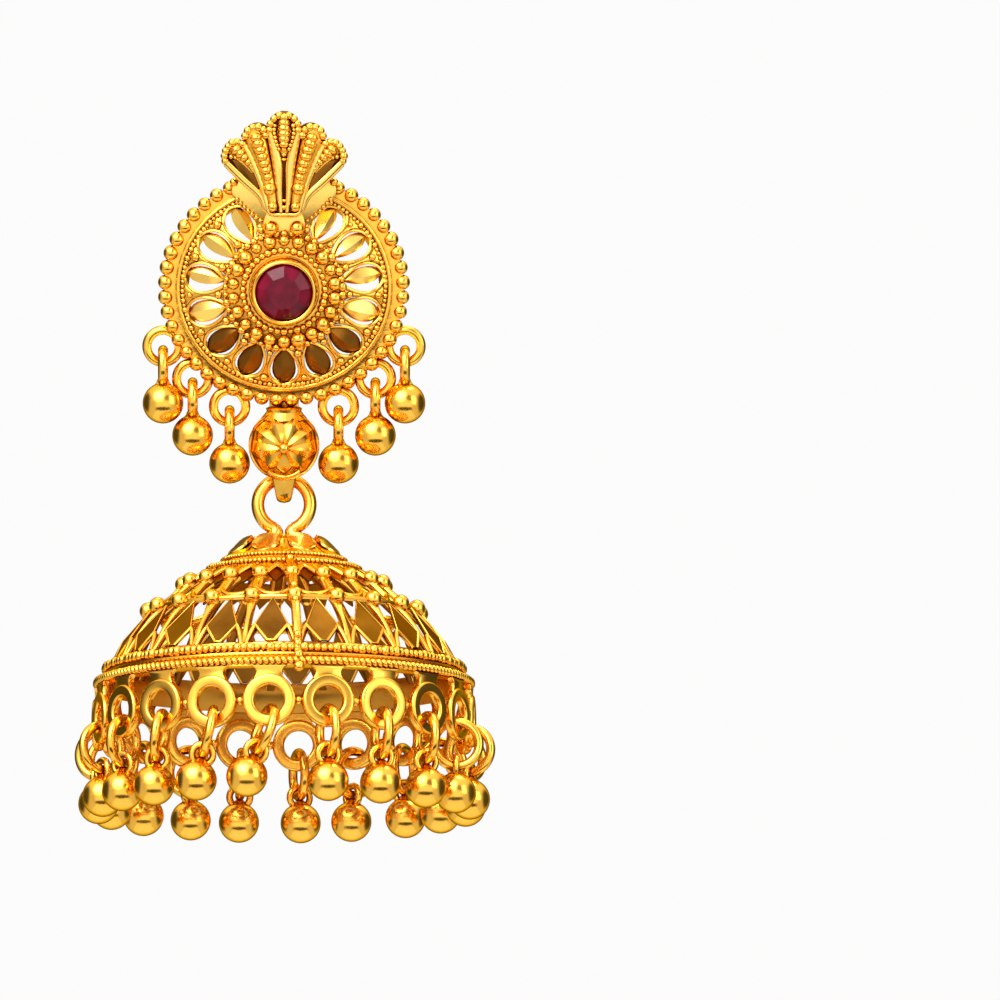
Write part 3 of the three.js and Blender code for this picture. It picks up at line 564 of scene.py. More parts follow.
def round_tree():
    """Copies of the source round the Z axis."""
    tree, given, made = repeat_tree("Copies round an axis", [
        ("Count", "Int", 20), ("First", "Float", 0.0), ("Step", "Float", SECTOR),
    ])
    points = node(tree, "GeometryNodePoints", {"Count": given["Count"]})[0]
    index = node(tree, "GeometryNodeInputIndex")["Index"]
    angle = maths(tree, "MULTIPLY_ADD", index, given["Step"], given["First"])
    turn = node(tree, "FunctionNodeAxisAngleToRotation", {"Axis": (0, 0, 1), "Angle": angle})["Rotation"]
    return lay(tree, given, made, Points=points, Instance=given["Geometry"], Rotation=turn)


def hanging_tree():
    """A copy of an object on each point of the source, turned by the point's own angles."""
    tree, given, made = repeat_tree("Hung on points", [("Hung", "Object")])
    hung = node(tree, "GeometryNodeObjectInfo", {"Object": given["Hung"]})["Geometry"]
    angles = node(tree, "GeometryNodeInputNamedAttribute", {"Name": "turn"}, data_type="FLOAT_VECTOR")
    turn = node(tree, "FunctionNodeEulerToRotation", {"Euler": angles["Attribute"]})["Rotation"]
    return lay(tree, given, made, Points=given["Geometry"], Instance=hung, Rotation=turn)


GRANULES, ROUND, HANGING = granules_tree(), round_tree(), hanging_tree()


# From forms to pieces


def mesh_from(name, form, crease=radians(32)):
    points, faces = form
    mesh = bpy.data.meshes.new(name)
    mesh.from_pydata([tuple(p) for p in points], [], faces)
    work = bmesh.new()
    work.from_mesh(mesh)
    bmesh.ops.remove_doubles(work, verts=work.verts, dist=1e-4)
    bmesh.ops.recalc_face_normals(work, faces=work.faces)
    for face in work.faces:
        face.smooth = True
    for edge in work.edges:
        edge.smooth = len(edge.link_faces) == 2 and edge.calc_face_angle(0) < crease
    work.to_mesh(mesh)
    work.free()
    return mesh


def linked(name, data):
    thing = bpy.data.objects.new(name, data)
    bpy.context.scene.collection.objects.link(thing)
    return thing


def grown(name, mesh, tree, **values):
    """The plain mesh that a tree makes of a source mesh."""
    source = linked(name, mesh)
    repeat = source.modifiers.new("Repeat", "NODES")
    repeat.node_group = tree
    for item in tree.interface.items_tree:
        if item.in_out == "INPUT" and item.name in values:
            repeat[item.identifier] = values[item.name]
    graph = bpy.context.evaluated_depsgraph_get()
    made = bpy.data.meshes.new_from_object(source.evaluated_get(graph), depsgraph=graph)
    made.name = name
    bpy.data.objects.remove(source)
    return made


def lines(paths, closed=False):
    """A mesh of bare lines."""
    mesh = bpy.data.meshes.new("Lines")
    corners, edges, start = [], [], 0
    for path in paths:
        corners += [tuple(p) for p in path]
        edges += [(start + i, start + i + 1) for i in range(len(path) - 1)]
        if closed:
            edges.append((start + len(path) - 1, start))
        start += len(path)
    mesh.from_pydata(corners, edges, [])
    return mesh


def granules(name, paths, radius, spacing, material=GOLD, closed=False, **values):
    values = dict(Radius=radius, Spacing=spacing, Material=material, **values)
    return grown(name, lines(paths, closed), GRANULES, **values)


def piece(name, meshes, place, body, replaces=()):
    """One piece from meshes that each have their material, put in its place and on its body."""
    meshes = meshes if isinstance(meshes, list) else [meshes]
    materials = []
    work = bmesh.new()
    for mesh in meshes:
        own = next(material for material in mesh.materials if material)
        if own not in materials:
            materials.append(own)
        known = len(work.faces)
        work.from_mesh(mesh)
        work.faces.ensure_lookup_table()
        for face in work.faces[known:]:
            face.material_index = materials.index(own)
    made = bpy.data.meshes.new(name)
    work.to_mesh(made)
    work.free()
    for material in materials:
        made.materials.append(material)
    made.transform(place)
    thing = linked(name, made)
    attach(thing, body)
    if replaces:
        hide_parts(*replaces)
    return thing


def coated(name, form, material=GOLD, crease=radians(32)):
    mesh = mesh_from(name, form, crease)
    mesh.materials.append(material)
    return mesh


# Stud


def plate_ring(first, last, steps=160):
    """A band of the rosette's plate between two shares of its section."""
    shares = np.linspace(first, last, 12)
    rows = []
    for angle in np.arange(steps) * 2 * pi / steps:
        front = PLATE.point(np.full(12, angle), shares, 0.0)
        back = PLATE.point(np.full(12, angle), shares[::-1], -PLATE_WALL)
        rows.append(np.vstack([front, back]))
    return np.vstack(rows), grid_faces(steps, 24, wrap_rows=True)


def mirrored(points):
    return [(-x, z) for x, z in points[::-1]]


def rosette_spokes():
    width = smooth_curve(SPOKE_WIDTHS)
    forms = []
    for i in range(WINDOWS + 1):
        angle = (i - WINDOWS / 2) * WINDOW_PITCH
        rows = [(angle, v, float(width(v)), 0.27, -0.27) for v in np.linspace(0.2, 0.79, 22)]
        forms.append(PLATE.bar(rows, 14, 3.5))
    return joined(*forms)


def almond(angle, share, inner=0.27, outer=0.77, steps=28):
    """The outline of a window's petal as rows of angle and v. The share is of the windows' pitch."""
    t = np.arange(steps) * 2 * pi / steps
    middle, half = (inner + outer) / 2, (outer - inner) / 2
    width = np.abs(np.sin(t)) ** 1.15 * np.sign(np.sin(t)) * (1 + 0.12 * np.cos(t))
    along = middle + half * np.cos(t) * (1 - 0.03 * np.sin(t) ** 2)
    return np.column_stack([angle + WINDOW_PITCH * share * width, along])


def leaf(angle):
    """A petal in a window, folded along its middle. The upper ones are narrower, and lie higher."""
    upper = min(max((abs(angle) - 1.2) / 0.5, 0), 1)
    angle += math.copysign(0.035 * upper, angle)
    count, half = 24, 12
    rim = almond(angle, 0.34 - 0.09 * upper, 0.275, 0.762, count)
    rise = np.sin(np.arange(half + 1) * pi / half)
    ridge = np.column_stack([np.full(half + 1, angle) - 0.02 * rise, rim[:half + 1, 1]])
    lift = -0.12 - 0.12 * np.abs(np.sin(np.arange(count) * 2 * pi / count))
    rows = []
    for deeper, share in [(0.0, 1.0), (0.16, 0.6)]:
        rows.append(PLATE.point(rim[:, 0], rim[:, 1], lift - deeper))
        rows.append(PLATE.point(ridge[:, 0], ridge[:, 1], -0.12 - deeper + 0.2 * share * rise))
    faces, under = [], count + half + 1
    for i in range(half):
        a, b = count + i, count + i + 1
        left, right = (i, i + 1), (-(i + 1) % count, -i % count)
        faces += [(left[0], left[1], b, a), (right[0], right[1], a, b)]
        faces += [(under + left[1], under + left[0], under + a, under + b),
                  (under + right[1], under + right[0], under + b, under + a)]
    faces += [(i + under, (i + 1) % count + under, (i + 1) % count, i) for i in range(count)]
    return np.vstack(rows), faces


def crest_seat():
    half = [(1.5, 3.9), (2.1, 5.1), (3.3, 6.35), (3.85, 7.0), (3.95, 7.65), (3.6, 8.35)]
    outline = mirrored(half) + half
    half_foot = [(1.0, 3.75), (1.55, 4.3), (1.6, 5.2), (1.2, 6.1)]
    foot = mirrored(half_foot) + half_foot
    return joined(slab(rounded(outline, 0.25), -1.05, -3.1, 0.1), slab(rounded(foot, 0.3), -2.2, -3.55, 0.15))


def loop_middles():
    return [
        Vector((side * reach * sin(radians(a)), -LOOP_FORWARD, -reach * cos(radians(a))))
        for side in (-1, 1) for a, reach in LOOPS
    ]


def rosette():
    window_angles = [(i - (WINDOWS - 1) / 2) * WINDOW_PITCH for i in range(WINDOWS)]
    metalwork = joined(
        plate_ring(0.0, 0.29), plate_ring(0.755, 1.0), rosette_spokes(),
        wire(PLATE.ring(0.835, 0.06, 180), 0.2, 12, True),
        wire(PLATE.ring(0.285, 0.03, 120), 0.12, 8, True),
        wire(ring_path(SETTING_RADIUS + 0.05, 96) - [0, 3.3, 0], 0.2, 12, True),
        *[wire(PLATE.point(*almond(a, 0.43).T, 0.03), 0.12, 8, True) for a in window_angles],
    )
    loops = joined(*[shifted(hoop(LOOP_RADIUS, LOOP_WIRE), *m) for m in loop_middles()])
    # The leaves are alike: the lower ones take the brown gold as painted shade, the upper ones the paler gold
    # as painted light
    upper_leaves = joined(*[leaf(a) for a in window_angles if abs(a) > LOWER_WINDOWS])
    lower_leaves = joined(*[leaf(a) for a in window_angles if abs(a) < LOWER_WINDOWS])
    piece("rosette_plate", [
        coated("Plate", metalwork, CAST),
        coated("Upper leaves", upper_leaves, PAINTED_LIGHT_GOLD, radians(12)),
        coated("Lower leaves", lower_leaves, BROWN_GOLD, radians(12)),
        coated("Seat", crest_seat(), PAINTED_LIGHT_GOLD),
        coated("Loops", loops),
    ], STUD, "stud", ["rosette"])
    arc = np.linspace(RIM_OPEN - pi, pi - RIM_OPEN, 240)
    rim = round_rosette(arc, np.full(240, RIM_RADIUS), RIM_FORWARD)
    length = float(np.sum(np.linalg.norm(np.diff(rim, axis=0), axis=1)))
    border = np.array([(-3.5, -3.15, 6.85), (-2.6, -3.15, 5.9), (-1.75, -3.15, 5.25)])
    web_angles = [(i - WINDOWS / 2) * WINDOW_PITCH for i in range(WINDOWS + 1)]
    webs = [PLATE.dot(a, v, 0.03) for a in web_angles for v in (0.36, 0.7)]
    inner, middle, outer = (PLATE.ring(v, lift, 100) for v, lift in [(0.065, 0.12), (0.185, 0.1), (0.27, 0.1)])
    big = dots([(x, -3.75, 4.72) for x in (-0.99, 0.99)])
    corner = dots([(x, -3.2, 8.15) for x in (-3.75, 3.75)])
    piece("rosette_beads", [
        granules("Rim", [rim], RIM_BEAD, length / RIM_BEADS, Detail=3, Unevenness=0.05),
        granules("Fine ring", [PLATE.ring(0.782, 0.04, 160)], 0.2, 0.36, CAST, True, Unevenness=0.25, Seed=3),
        granules("Lumps", [middle], 0.5, 1.12, GOLD, True, Unevenness=0.22, Detail=3, Seed=5),
        granules("Web studs", webs, 0.27, 1.0, CAST, Detail=3, Unevenness=0.3, Seed=11),
        granules("Outer lumps", [outer], 0.27, 0.6, CAST, True, Unevenness=0.35, Detail=3, Seed=8),
        granules("Inner lumps", [inner], 0.27, 0.5, GOLD, True, Unevenness=0.25, Detail=3, Seed=4),
        granules("Seat border", [border, border * [-1, 1, 1]], 0.17, 0.34, CAST, Unevenness=0.1),
        granules("Seat beads", big, 0.56, 1.0, Detail=4, Unevenness=0),
        granules("Corner beads", corner, 0.3, 1.0, Detail=3, Unevenness=0),
    ], STUD, "stud", ["rosette"])


def setting():
    profile = [
        (0, 0.75), (2.4, 0.75), (2.4, 3.9), (SETTING_RADIUS, 4.1), (SETTING_RADIUS + 0.02, 4.45),
        (SETTING_RADIUS, 4.75), (2.42, 4.93), (2.3, SETTING_FRONT), (2.2, 4.98), (2.12, 4.9), (2.1, 4.78),
        (2.22, 4.7), (2.22, 4.4), (0, 3.0),
    ]
    form = moved(turned(profile, 96, loop=False), FORWARD)
    piece("setting_ring", coated("Setting", form, GOLD, radians(40)), STUD, "stud", ["setting"])


def stone():
    """A round stone cut by planes: a table, nine crown facets, and nine more under the girdle."""
    facets = 9
    work = bmesh.new()
    girdle = dict(radius1=STONE_RADIUS, radius2=STONE_RADIUS)
    bmesh.ops.create_cone(work, cap_ends=True, segments=72, depth=4, **girdle)

    def cut(point, normal):
        whole = work.verts[:] + work.edges[:] + work.faces[:]
        made = bmesh.ops.bisect_plane(work, geom=whole, plane_co=point, plane_no=normal, clear_outer=True)
        rim = [e for e in made["geom_cut"] if isinstance(e, bmesh.types.BMEdge)]
        if rim:
            bmesh.ops.edgeloop_fill(work, edges=rim)

    for i in range(facets):
        angle = (i + 0.5) * 2 * pi / facets
        out, up = Vector((sin(angle), cos(angle), 0)), Vector((0, 0, 1))
        edge, crown, pavilion = out * STONE_RADIUS * 0.985, radians(34), radians(38)
        cut(edge + up * 0.02, out * sin(crown) + up * cos(crown))
        cut(edge - up * 0.18, out * sin(pavilion) - up * cos(pavilion))
    cut(up * 0.62, up)
    cut(up * -1.35, -up)
    mesh = bpy.data.meshes.new("Stone")
    bmesh.ops.recalc_face_normals(work, faces=work.faces)
    work.to_mesh(mesh)
    work.free()
    mesh.materials.append(RED)
    place = STUD @ Matrix.Translation((0, -STONE_FRONT, 0)) @ FORWARD
    piece("red_stone", mesh, place, "stud", ["stone"])


def ear_post():
    profile = [
        (0, -10.5), (0.2, -10.47), (0.36, -10.3), (0.45, -10.05), (0.45, -9.4), (0.38, -9.25), (0.38, -9.05),
        (0.45, -8.9), (0.45, -0.25), (0.6, -0.06), (2.1, 0), (2.27, 0.08), (2.3, 0.25), (2.26, 0.5),
        (2.1, 0.6), (0, 0.6),
    ]
    form = moved(turned(profile, 64, loop=False), FORWARD)
    piece("ear_post_and_foot", coated("Post", form), STUD, "stud", ["ear_post"])


def crest_outline():
    foot = np.array([0, CREST_FOOT])
    reach = []
    for phi in np.radians(np.linspace(-54, 54, 90)):
        way = np.array([sin(phi), cos(phi)])
        far = 0
        for lean, length, tip in CREST_LOBES:
            middle = (length - tip) * np.array([sin(radians(lean)), cos(radians(lean))])
            along = way @ middle
            off = middle @ middle - along**2
            if off < tip**2:
                far = max(far, along + math.sqrt(tip**2 - off))
        reach.append(foot + way * far if far else None)
    tips = [p for p in reach if p is not None][::-1]
    return np.array([(-1.2, CREST_FOOT - 0.25), (1.2, CREST_FOOT - 0.25), (1.7, 7.1), *tips, (-1.7, 7.1)])


def laid(points, widths, rise, base, steps=24, power=2.4):
    """A bar on the crest's face through points (x, z), with half widths, a half height and a depth."""
    points, t = np.asarray(points, float), np.linspace(0, 1, len(points))
    fine = np.linspace(0, 1, steps)
    x, z, width = (smooth_curve(list(zip(t, values)))(fine) for values in (points[:, 0], points[:, 1], widths))
    path = np.column_stack([x, np.full(steps, -base), z])
    along = directions(path)
    side = unit(np.cross(np.tile([0.0, -1.0, 0.0], (steps, 1)), along))
    sections = [round_section(max(w, 0.02), rise, 14, power) for w in width]
    return swept(path, side, np.cross(along, side), sections)


def crest():
    face = CREST_BACK + 0.75
    bands, lobes, hollows, scales, rims, grains = [], [], [], [], [], []
    for side in (-1, 1):
        def way(*points):
            return [(side * x, z) for x, z in points]

        def row(lift, *points):
            return [(side * x, -face - lift, z) for x, z in points]

        # Smooth bands: beside the slit, between the lobes, and along the foot
        bands.append(laid(
            way((0.23, 6.0), (0.36, 7.5), (0.5, 9.6), (0.8, 11.0), (1.08, 12.0)),
            [0.17, 0.26, 0.4, 0.34, 0.24], 0.34, face + 0.2, power=2.1,
        ))
        bands.append(laid(
            way((1.15, 6.05), (1.68, 8.0), (2.4, 9.8), (3.0, 11.0)), [0.2, 0.24, 0.32, 0.3],
            0.36, face + 0.15, power=2.1,
        ))
        bands.append(laid(
            way((0.0, 5.82), (0.9, 5.83), (1.3, 6.15), (1.78, 7.2), (3.05, 8.4), (4.3, 9.65)),
            [0.16, 0.17, 0.22, 0.28, 0.32, 0.3], 0.3, face + 0.12, 30,
        ))
        # Inner lobe, then the outer lobe with the hollow under it
        lobes.append(laid(
            way((0.75, 6.1), (1.05, 7.7), (1.6, 9.8), (2.1, 11.3), (2.35, 12.2)), [0.3, 0.5, 0.66, 0.85, 0.5],
            0.5, face,
        ))
        lobes.append(laid(
            way((2.3, 9.0), (3.0, 9.95), (3.6, 10.6), (3.9, 10.95)), [0.2, 0.45, 0.7, 0.5], 0.42, face,
        ))
        hollow = mirrored(HOLLOW) if side < 0 else HOLLOW
        hollows.append(slab(rounded(hollow, 0.2), -face, -face - 0.3, 0.06))
        for x, z, r, lift in INNER_SCALES:
            scales.append((side * x, z, r, face + 0.3 + lift * 0.3, radians(-16) * side))
        for x, z, r in OUTER_SCALES:
            scales.append((side * x, z, r, face + 0.4, radians(-42) * side))
        rims.append(row(
            0.28, (1.38, 11.75), (1.55, 12.15), (1.9, 12.35), (2.3, 12.35), (2.7, 12.1), (2.9, 11.7),
        ))
        rims.append(row(0.24, (3.1, 11.1), (3.5, 11.25), (3.95, 11.15), (4.3, 10.75), (4.45, 10.2)))
        rims.append(row(0.3, (1.05, 12.15), (1.0, 12.65), (0.72, 13.02), (0.36, 13.22)))
        grains.append(row(0.34, (1.95, 8.7), (2.4, 9.45), (3.1, 9.98), (3.95, 10.15)))
        grains.append(row(0.5, (0.38, 10.75), (0.62, 11.4), (0.76, 12.1), (0.68, 12.5)))
    lobes.append(laid([(0, 10.4), (0, 11.2), (0, 12.0), (0, 12.7)], [0.3, 0.65, 0.85, 0.5], 0.45, face))
    scales += [(0, z, r, face + 0.46, 0) for z, r in MIDDLE_SCALES]
    scales += [(0, z, r, face + 0.3, 0) for z, r in SLIT_BEADS]
    beads = []
    for x, z, r, depth, turn in scales:
        flatter = 1 if z < 8 and abs(x) > 0.5 else 0.78
        bead = moved(globe(1, columns=20, rows=12), Matrix.Diagonal((r, r * 0.9, r * flatter, 1)))
        beads.append(moved(bead, Matrix.Translation((x, -depth, z)) @ Matrix.Rotation(-turn, 4, "Y")))
    back = slab(crest_outline(), -CREST_BACK, -CREST_BACK - 0.62, 0.1)
    corners = dots([(x, -face - 0.15, 9.82) for x in (-4.38, 4.38)])
    piece("crest_fan", [
        coated("Back", joined(back, *hollows), BROWN_GOLD),
        coated("Lobes", joined(*lobes), CAST, radians(60)),
        coated("Bands", joined(*bands), PAINTED_LIGHT_GOLD, radians(60)),
        coated("Scales", joined(*beads), GOLD, radians(60)),
        granules("Lobe rims", rims, 0.31, 0.38, Detail=3, Unevenness=0.08, Seed=2),
        granules("Grains", grains, 0.16, 0.3, Detail=2, Unevenness=0.15, Seed=6),
        granules("Corners", corners, 0.3, 1.0, Detail=3, Unevenness=0),
    ], STUD, "stud", ["crest"])


def flower_ball():
    petals, columns, rows = 9, 216, 40
    points = []
    for i in range(rows + 1):
        a = radians(104) * i / rows
        deep = np.interp(math.degrees(a), [0, 8, 40, 74, 88, 104], [0.1, 0.5, 1, 0.9, 0.15, 0])
        for j in range(columns):
            b = j * 2 * pi / columns
            wave = abs(((b * petals / (2 * pi)) % 1) - 0.5) * 2
            r = 2.47 * (1 - 0.13 * deep * (1 - wave))
            points.append((r * sin(a) * sin(b), -r * cos(a) * 0.8, -r * sin(a) * cos(b)))
    last = tuple(range(rows * columns, (rows + 1) * columns))
    petalled = shifted((np.array(points), grid_faces(rows + 1, columns) + [last]), *BALL_MIDDLE)
    bowl = turned([
        (0, -0.72), (1.9, -0.62), (2.45, -0.35), (2.62, -0.1), (2.66, 0.12), (2.6, 0.26), (2.48, 0.22),
        (2.3, 0.0), (0, 0.0),
    ], 96, loop=False)
    bowl = shifted(moved(bowl, FORWARD), *BALL_MIDDLE)
    bead = globe(0.4, BALL_MIDDLE + Vector((0, -2.12, 0)), 24, 14)
    neck = [(0, -9.85), (1.75, -9.8), (1.5, -9.5), (1.3, -9.25), (1.35, -9.02), (1.2, -8.95), (0, -8.95)]
    neck = shifted(turned(neck, loop=False), y=-2.0)
    # The hook: a ring of sections round its eye, wide at the top and narrow at the tip
    sections, path, up = [], [], []
    inner = 0.84
    for a in np.linspace(0, 2 * pi, 64, endpoint=False):
        way = np.array([0, sin(a), -cos(a)])
        across, along = max(abs(sin(a)), 1e-6), max(abs(cos(a)), 1e-6)
        outer = min(1.25 / across, (1.75 if cos(a) > 0 else 1.9) / along, 1.78)
        here = np.array(HOOK_EYE) + way * (inner + outer) / 2
        low = np.clip((HOOK_EYE.z - here[2]) / 1.4, -1, 1)
        half = 0.9 - 0.36 * max(low, 0)
        section = round_section(half, (outer - inner) / 2, 16, 3.5)
        ridge = 0.34 * max(-sin(a), 0) * (1 - np.abs(section[:, 0]) / half)
        section[:, 1] += np.where(section[:, 1] > 0, ridge, 0)
        sections.append(section)
        path.append(here)
        up.append(way)
    hook = swept(path, [(1, 0, 0)] * len(path), up, sections, closed=True)
    tang = slab(rounded([(-1.1, -13.3), (1.1, -13.3), (1.1, -7.25), (-1.1, -7.25)], 0.35), 0.0, -0.74, 0.1)
    bridge = slab(rounded([(-1.1, -13.6), (1.1, -13.6), (1.1, -9.15), (-1.1, -9.15)], 0.2), -0.5, -2.3, 0.1)
    lip = wire([
        BALL_MIDDLE + Vector((2.0 * sin(a), -1.15 + 0.2 * abs(sin(a)), -2.32 * cos(a) * 0.99))
        for a in np.linspace(-0.62, 0.62, 24)
    ], 0.17)
    piece("flower_ball_and_hook", [
        coated("Ball", joined(petalled, bowl, bead), GOLD, radians(28)),
        coated("Hook", joined(hook, neck, tang, bridge, lip), GOLD, radians(40)),
    ], STUD, "stud", ["flower_ball"])


def stud_drops():
    droop = Matrix.Rotation(DROOP, 4, "X")
    ring_middle = LINK_GAP - (STUD_RING - STUD_RING_WIRE)
    ball_middle = ring_middle - STUD_RING - STUD_RING_WIRE + 0.4 - BALL_DROP
    ring = shifted(moved(hoop(STUD_RING, STUD_RING_WIRE, 44, 14), EDGE_ON), z=ring_middle)
    solder = turned([(0, -0.5), (0.75, -0.42), (0.5, -0.12), (0.42, 0.12), (0, 0.2)], 32, loop=False)
    solder = shifted(solder, z=ball_middle + BALL_DROP + 0.15)
    drop = joined(ring, globe(BALL_DROP, (0, 0, ball_middle)), solder)
    drops = []
    for middle in loop_middles():
        spot = droop @ (middle - Vector((0, 0, LOOP_RADIUS))) + Vector((0, 0, LOOP_WIRE))
        drops.append(shifted(drop, *spot))
    nodes = [f"stud_drop_{i}" for i in range(1, len(drops) + 1)]
    drops = coated("Stud drops", joined(*drops), GOLD, radians(50))
    piece("stud_balls", drops, Matrix.Scale(MM, 4), "stud", nodes)


# Bell


def bell_turned(rows, steps):
    """A closed loop of radius and share of the bell's height turned round its axis."""
    return turned([(r, BELL_TOP - v * BELL_HEIGHT) for r, v in rows], steps)


def bell_sector():
    """One rib with the arms beside it, and half a cell on each side. The rib is at angle 0."""
    width = smooth_curve(RIB_WIDTHS)
    rib = []
    for v in np.linspace(0.0, 0.76, 44):
        height = np.interp(v, [0.4, 0.5, 0.68, 0.75], [0.28, 0.18, 0.18, 0.28])
        rib.append((0, v, float(width(v)), float(height), -0.28))
    forms = [BELL.bar(rib, 14, 2.6)]
    steps = np.linspace(0, 1, 9)
    for side in (-HALF_CELL, HALF_CELL):
        strut = [
            (side * (0.38 - 0.28 * t), 0.6 + 0.14 * t - 0.02 * sin(pi * t), 0.17, 0.2, -0.14) for t in steps
        ]
        upper = [(side * t, 0.08 + 0.13 * (1 - t) ** 2, 0.28, 0.24, -0.18) for t in steps]
        lower = [(side * t, 0.335 - 0.06 * (1 - t) ** 2.5, 0.22, 0.22, -0.18) for t in steps]
        forms += [BELL.bar(arm, 10, 2.4) for arm in (strut, upper, lower)]
    forms.append(globe(0.65, BELL.point(0.0, KNOT_AT, 0.12), 28, 16))
    forms.append(globe(0.62, BELL.point(0.0, 0.165, 0.0), 24, 14))
    return joined(*forms)


def bell_lining():
    """The inner side of a rib and of the arms beside it, a thin bar in the brown gold as painted shade inside
    the bell.
    """
    forms = [BELL.bar([(0, v, 0.3, 0.07, -0.52) for v in np.linspace(0.0, 0.76, 30)], 8, 2.6)]
    for side in (-HALF_CELL, HALF_CELL):
        steps = np.linspace(0, 1, 7)
        arm = [(side * (0.38 - 0.28 * t), 0.6 + 0.14 * t, 0.2, 0.06, -0.38) for t in steps]
        forms.append(BELL.bar(arm, 8, 2.4))
    return joined(*forms)


def kite_outline(scale=1.0):
    middle = 0.58
    corners = [(0, 0.385), (-0.64, 0.6), (-0.12, 0.725), (0.12, 0.725), (0.64, 0.6)]
    return [(a * HALF_CELL * scale, middle + (v - middle) * scale) for a, v in corners]


def kite_foot():
    """The thick pale strip along a kite's lower edges."""
    (a1, v1), (a2, v2) = kite_outline()[1:3]
    forms = []
    for side in (-1, 1):
        steps = np.linspace(0, 1, 8)
        strip = [(side * (a1 + (a2 - a1) * t), v1 + (v2 - v1) * t, 0.13, 0.16, -0.08) for t in steps]
        forms.append(BELL.bar(strip, 10, 2.4))
    return joined(*forms)


def washer():
    """A washer at the front, with the tab above it and the lug on its right."""
    outer, inner, thick = WASHER_RADIUS - 0.02, WASHER_HOLE, 0.36
    section = rounded([(inner, -thick), (outer, -thick), (outer, thick), (inner, thick)], 0.27, 6)
    ring = shifted(moved(turned(section, 56), FORWARD), 0, -WASHER_RING - 0.02, WASHER_MIDDLE)
    half = [(1.25, 1.32), (1.15, 1.62), (1.0, 1.92), (0.98, 2.17), (1.1, 2.42), (1.35, 2.62)]
    half = [(x, WASHER_MIDDLE + z) for x, z in half]
    tab = slab(half + mirrored(half), -WASHER_RING + 0.25, -WASHER_RING - 0.2, 0.12)
    lug = globe(0.34, (0, -WASHER_RING * 0.99, 0), 20, 12)
    lug = shifted(moved(lug, Matrix.Rotation(HALF_CELL, 4, "Z")), z=WASHER_MIDDLE)
    return joined(ring, tab, lug)


def bell():
    first_rib = dict(Count=SECTORS, First=SEAM, Step=SECTOR)
    first_cell = {**first_rib, "First": SEAM + HALF_CELL}
    head = [(0, 0.215), (-0.72, 0.13), (-0.72, 0.06), (0.72, 0.06), (0.72, 0.13)]
    head = [(a * HALF_CELL, v) for a, v in head[::-1]]
    plates = joined(BELL.tile(kite_outline(0.98), 0.12, -0.08, 0.04), BELL.tile(head, 0.1, -0.3, 0.04))
    edge = wire(BELL.point(*np.array(kite_outline()).T, 0.0), 0.08, 8, True, (0, -0.7, 0.7))

    def all_round(name, form, crease, material, first):
        return grown(name, mesh_from(name, form, radians(crease)), ROUND, Material=material, **first)

    ribs = all_round("Ribs", bell_sector(), 50, GOLD, first_rib)
    # Painted shade: the dark linings behind the ribs darken the bell's inside
    shade_linings = all_round("Linings", bell_lining(), 50, BROWN_GOLD, first_rib)
    rims = all_round("Kite rims", joined(edge, kite_foot()), 32, GOLD, first_cell)
    kites = all_round("Kites", plates, 20, BROWN_GOLD, first_cell)
    washers = all_round("Washers", washer(), 40, GOLD, first_cell)
    wires = joined(
        wire(BELL.ring(KNOT_AT, -0.02, 200), 0.2, 10, True, (0, 0, 1)),
        wire(BELL.ring(0.83, -0.05, 200), 0.16, 10, True, (0, 0, 1)),
        bell_turned([(3.7, -0.02), (4.5, -0.02), (5.0, 0.025), (5.15, 0.05), (4.9, 0.07), (3.9, 0.03)], 96),
    )
    seam = BELL.bar([(SEAM, v, 0.34, 0.3, 0.02) for v in np.linspace(0.02, 0.93, 60)], 14, 2.4)
    bumps = [BELL.dot(SEAM, v, 0.25) for v in (0.06, 0.3, 0.42, 0.7, 0.77, 0.86, 0.94)]
    piece("bell_lattice", [
        ribs, kites, rims, shade_linings, coated("Knot wire", wires), coated("Seam", seam, CAST),
        granules("Seam bumps", bumps, 0.34, 1.0, CAST, Detail=3, Unevenness=0.2),
    ], HUNG, "hanging_dome", ["dome"])
    rows = [(0.055, 0.1, 120), (0.79, 0.12, 240), (0.895, 0.14, 260)]
    collar_row, upper_row, rope_row = (BELL.ring(*row) for row in rows)
    piece("bell_band", [
        coated("Band", bell_turned(BAND_ROWS, 200)),
        # The band's inner face in the darker gold, as painted shade
        coated("Band lining", bell_turned(LINING_ROWS, 200), INNER_SHADE_GOLD),
        washers,
        granules("Collar grains", [collar_row], 0.2, 0.37, CAST, True, Unevenness=0.15),
        granules("Upper grains", [upper_row], 0.35, 0.5, CAST, True, Unevenness=0.25, Seed=6),
        granules("Rope", [rope_row], 0.4, 0.46, GOLD, True, Length=0.62, Tilt=0.75, Unevenness=0.05),
    ], HUNG, "hanging_dome", ["dome"])


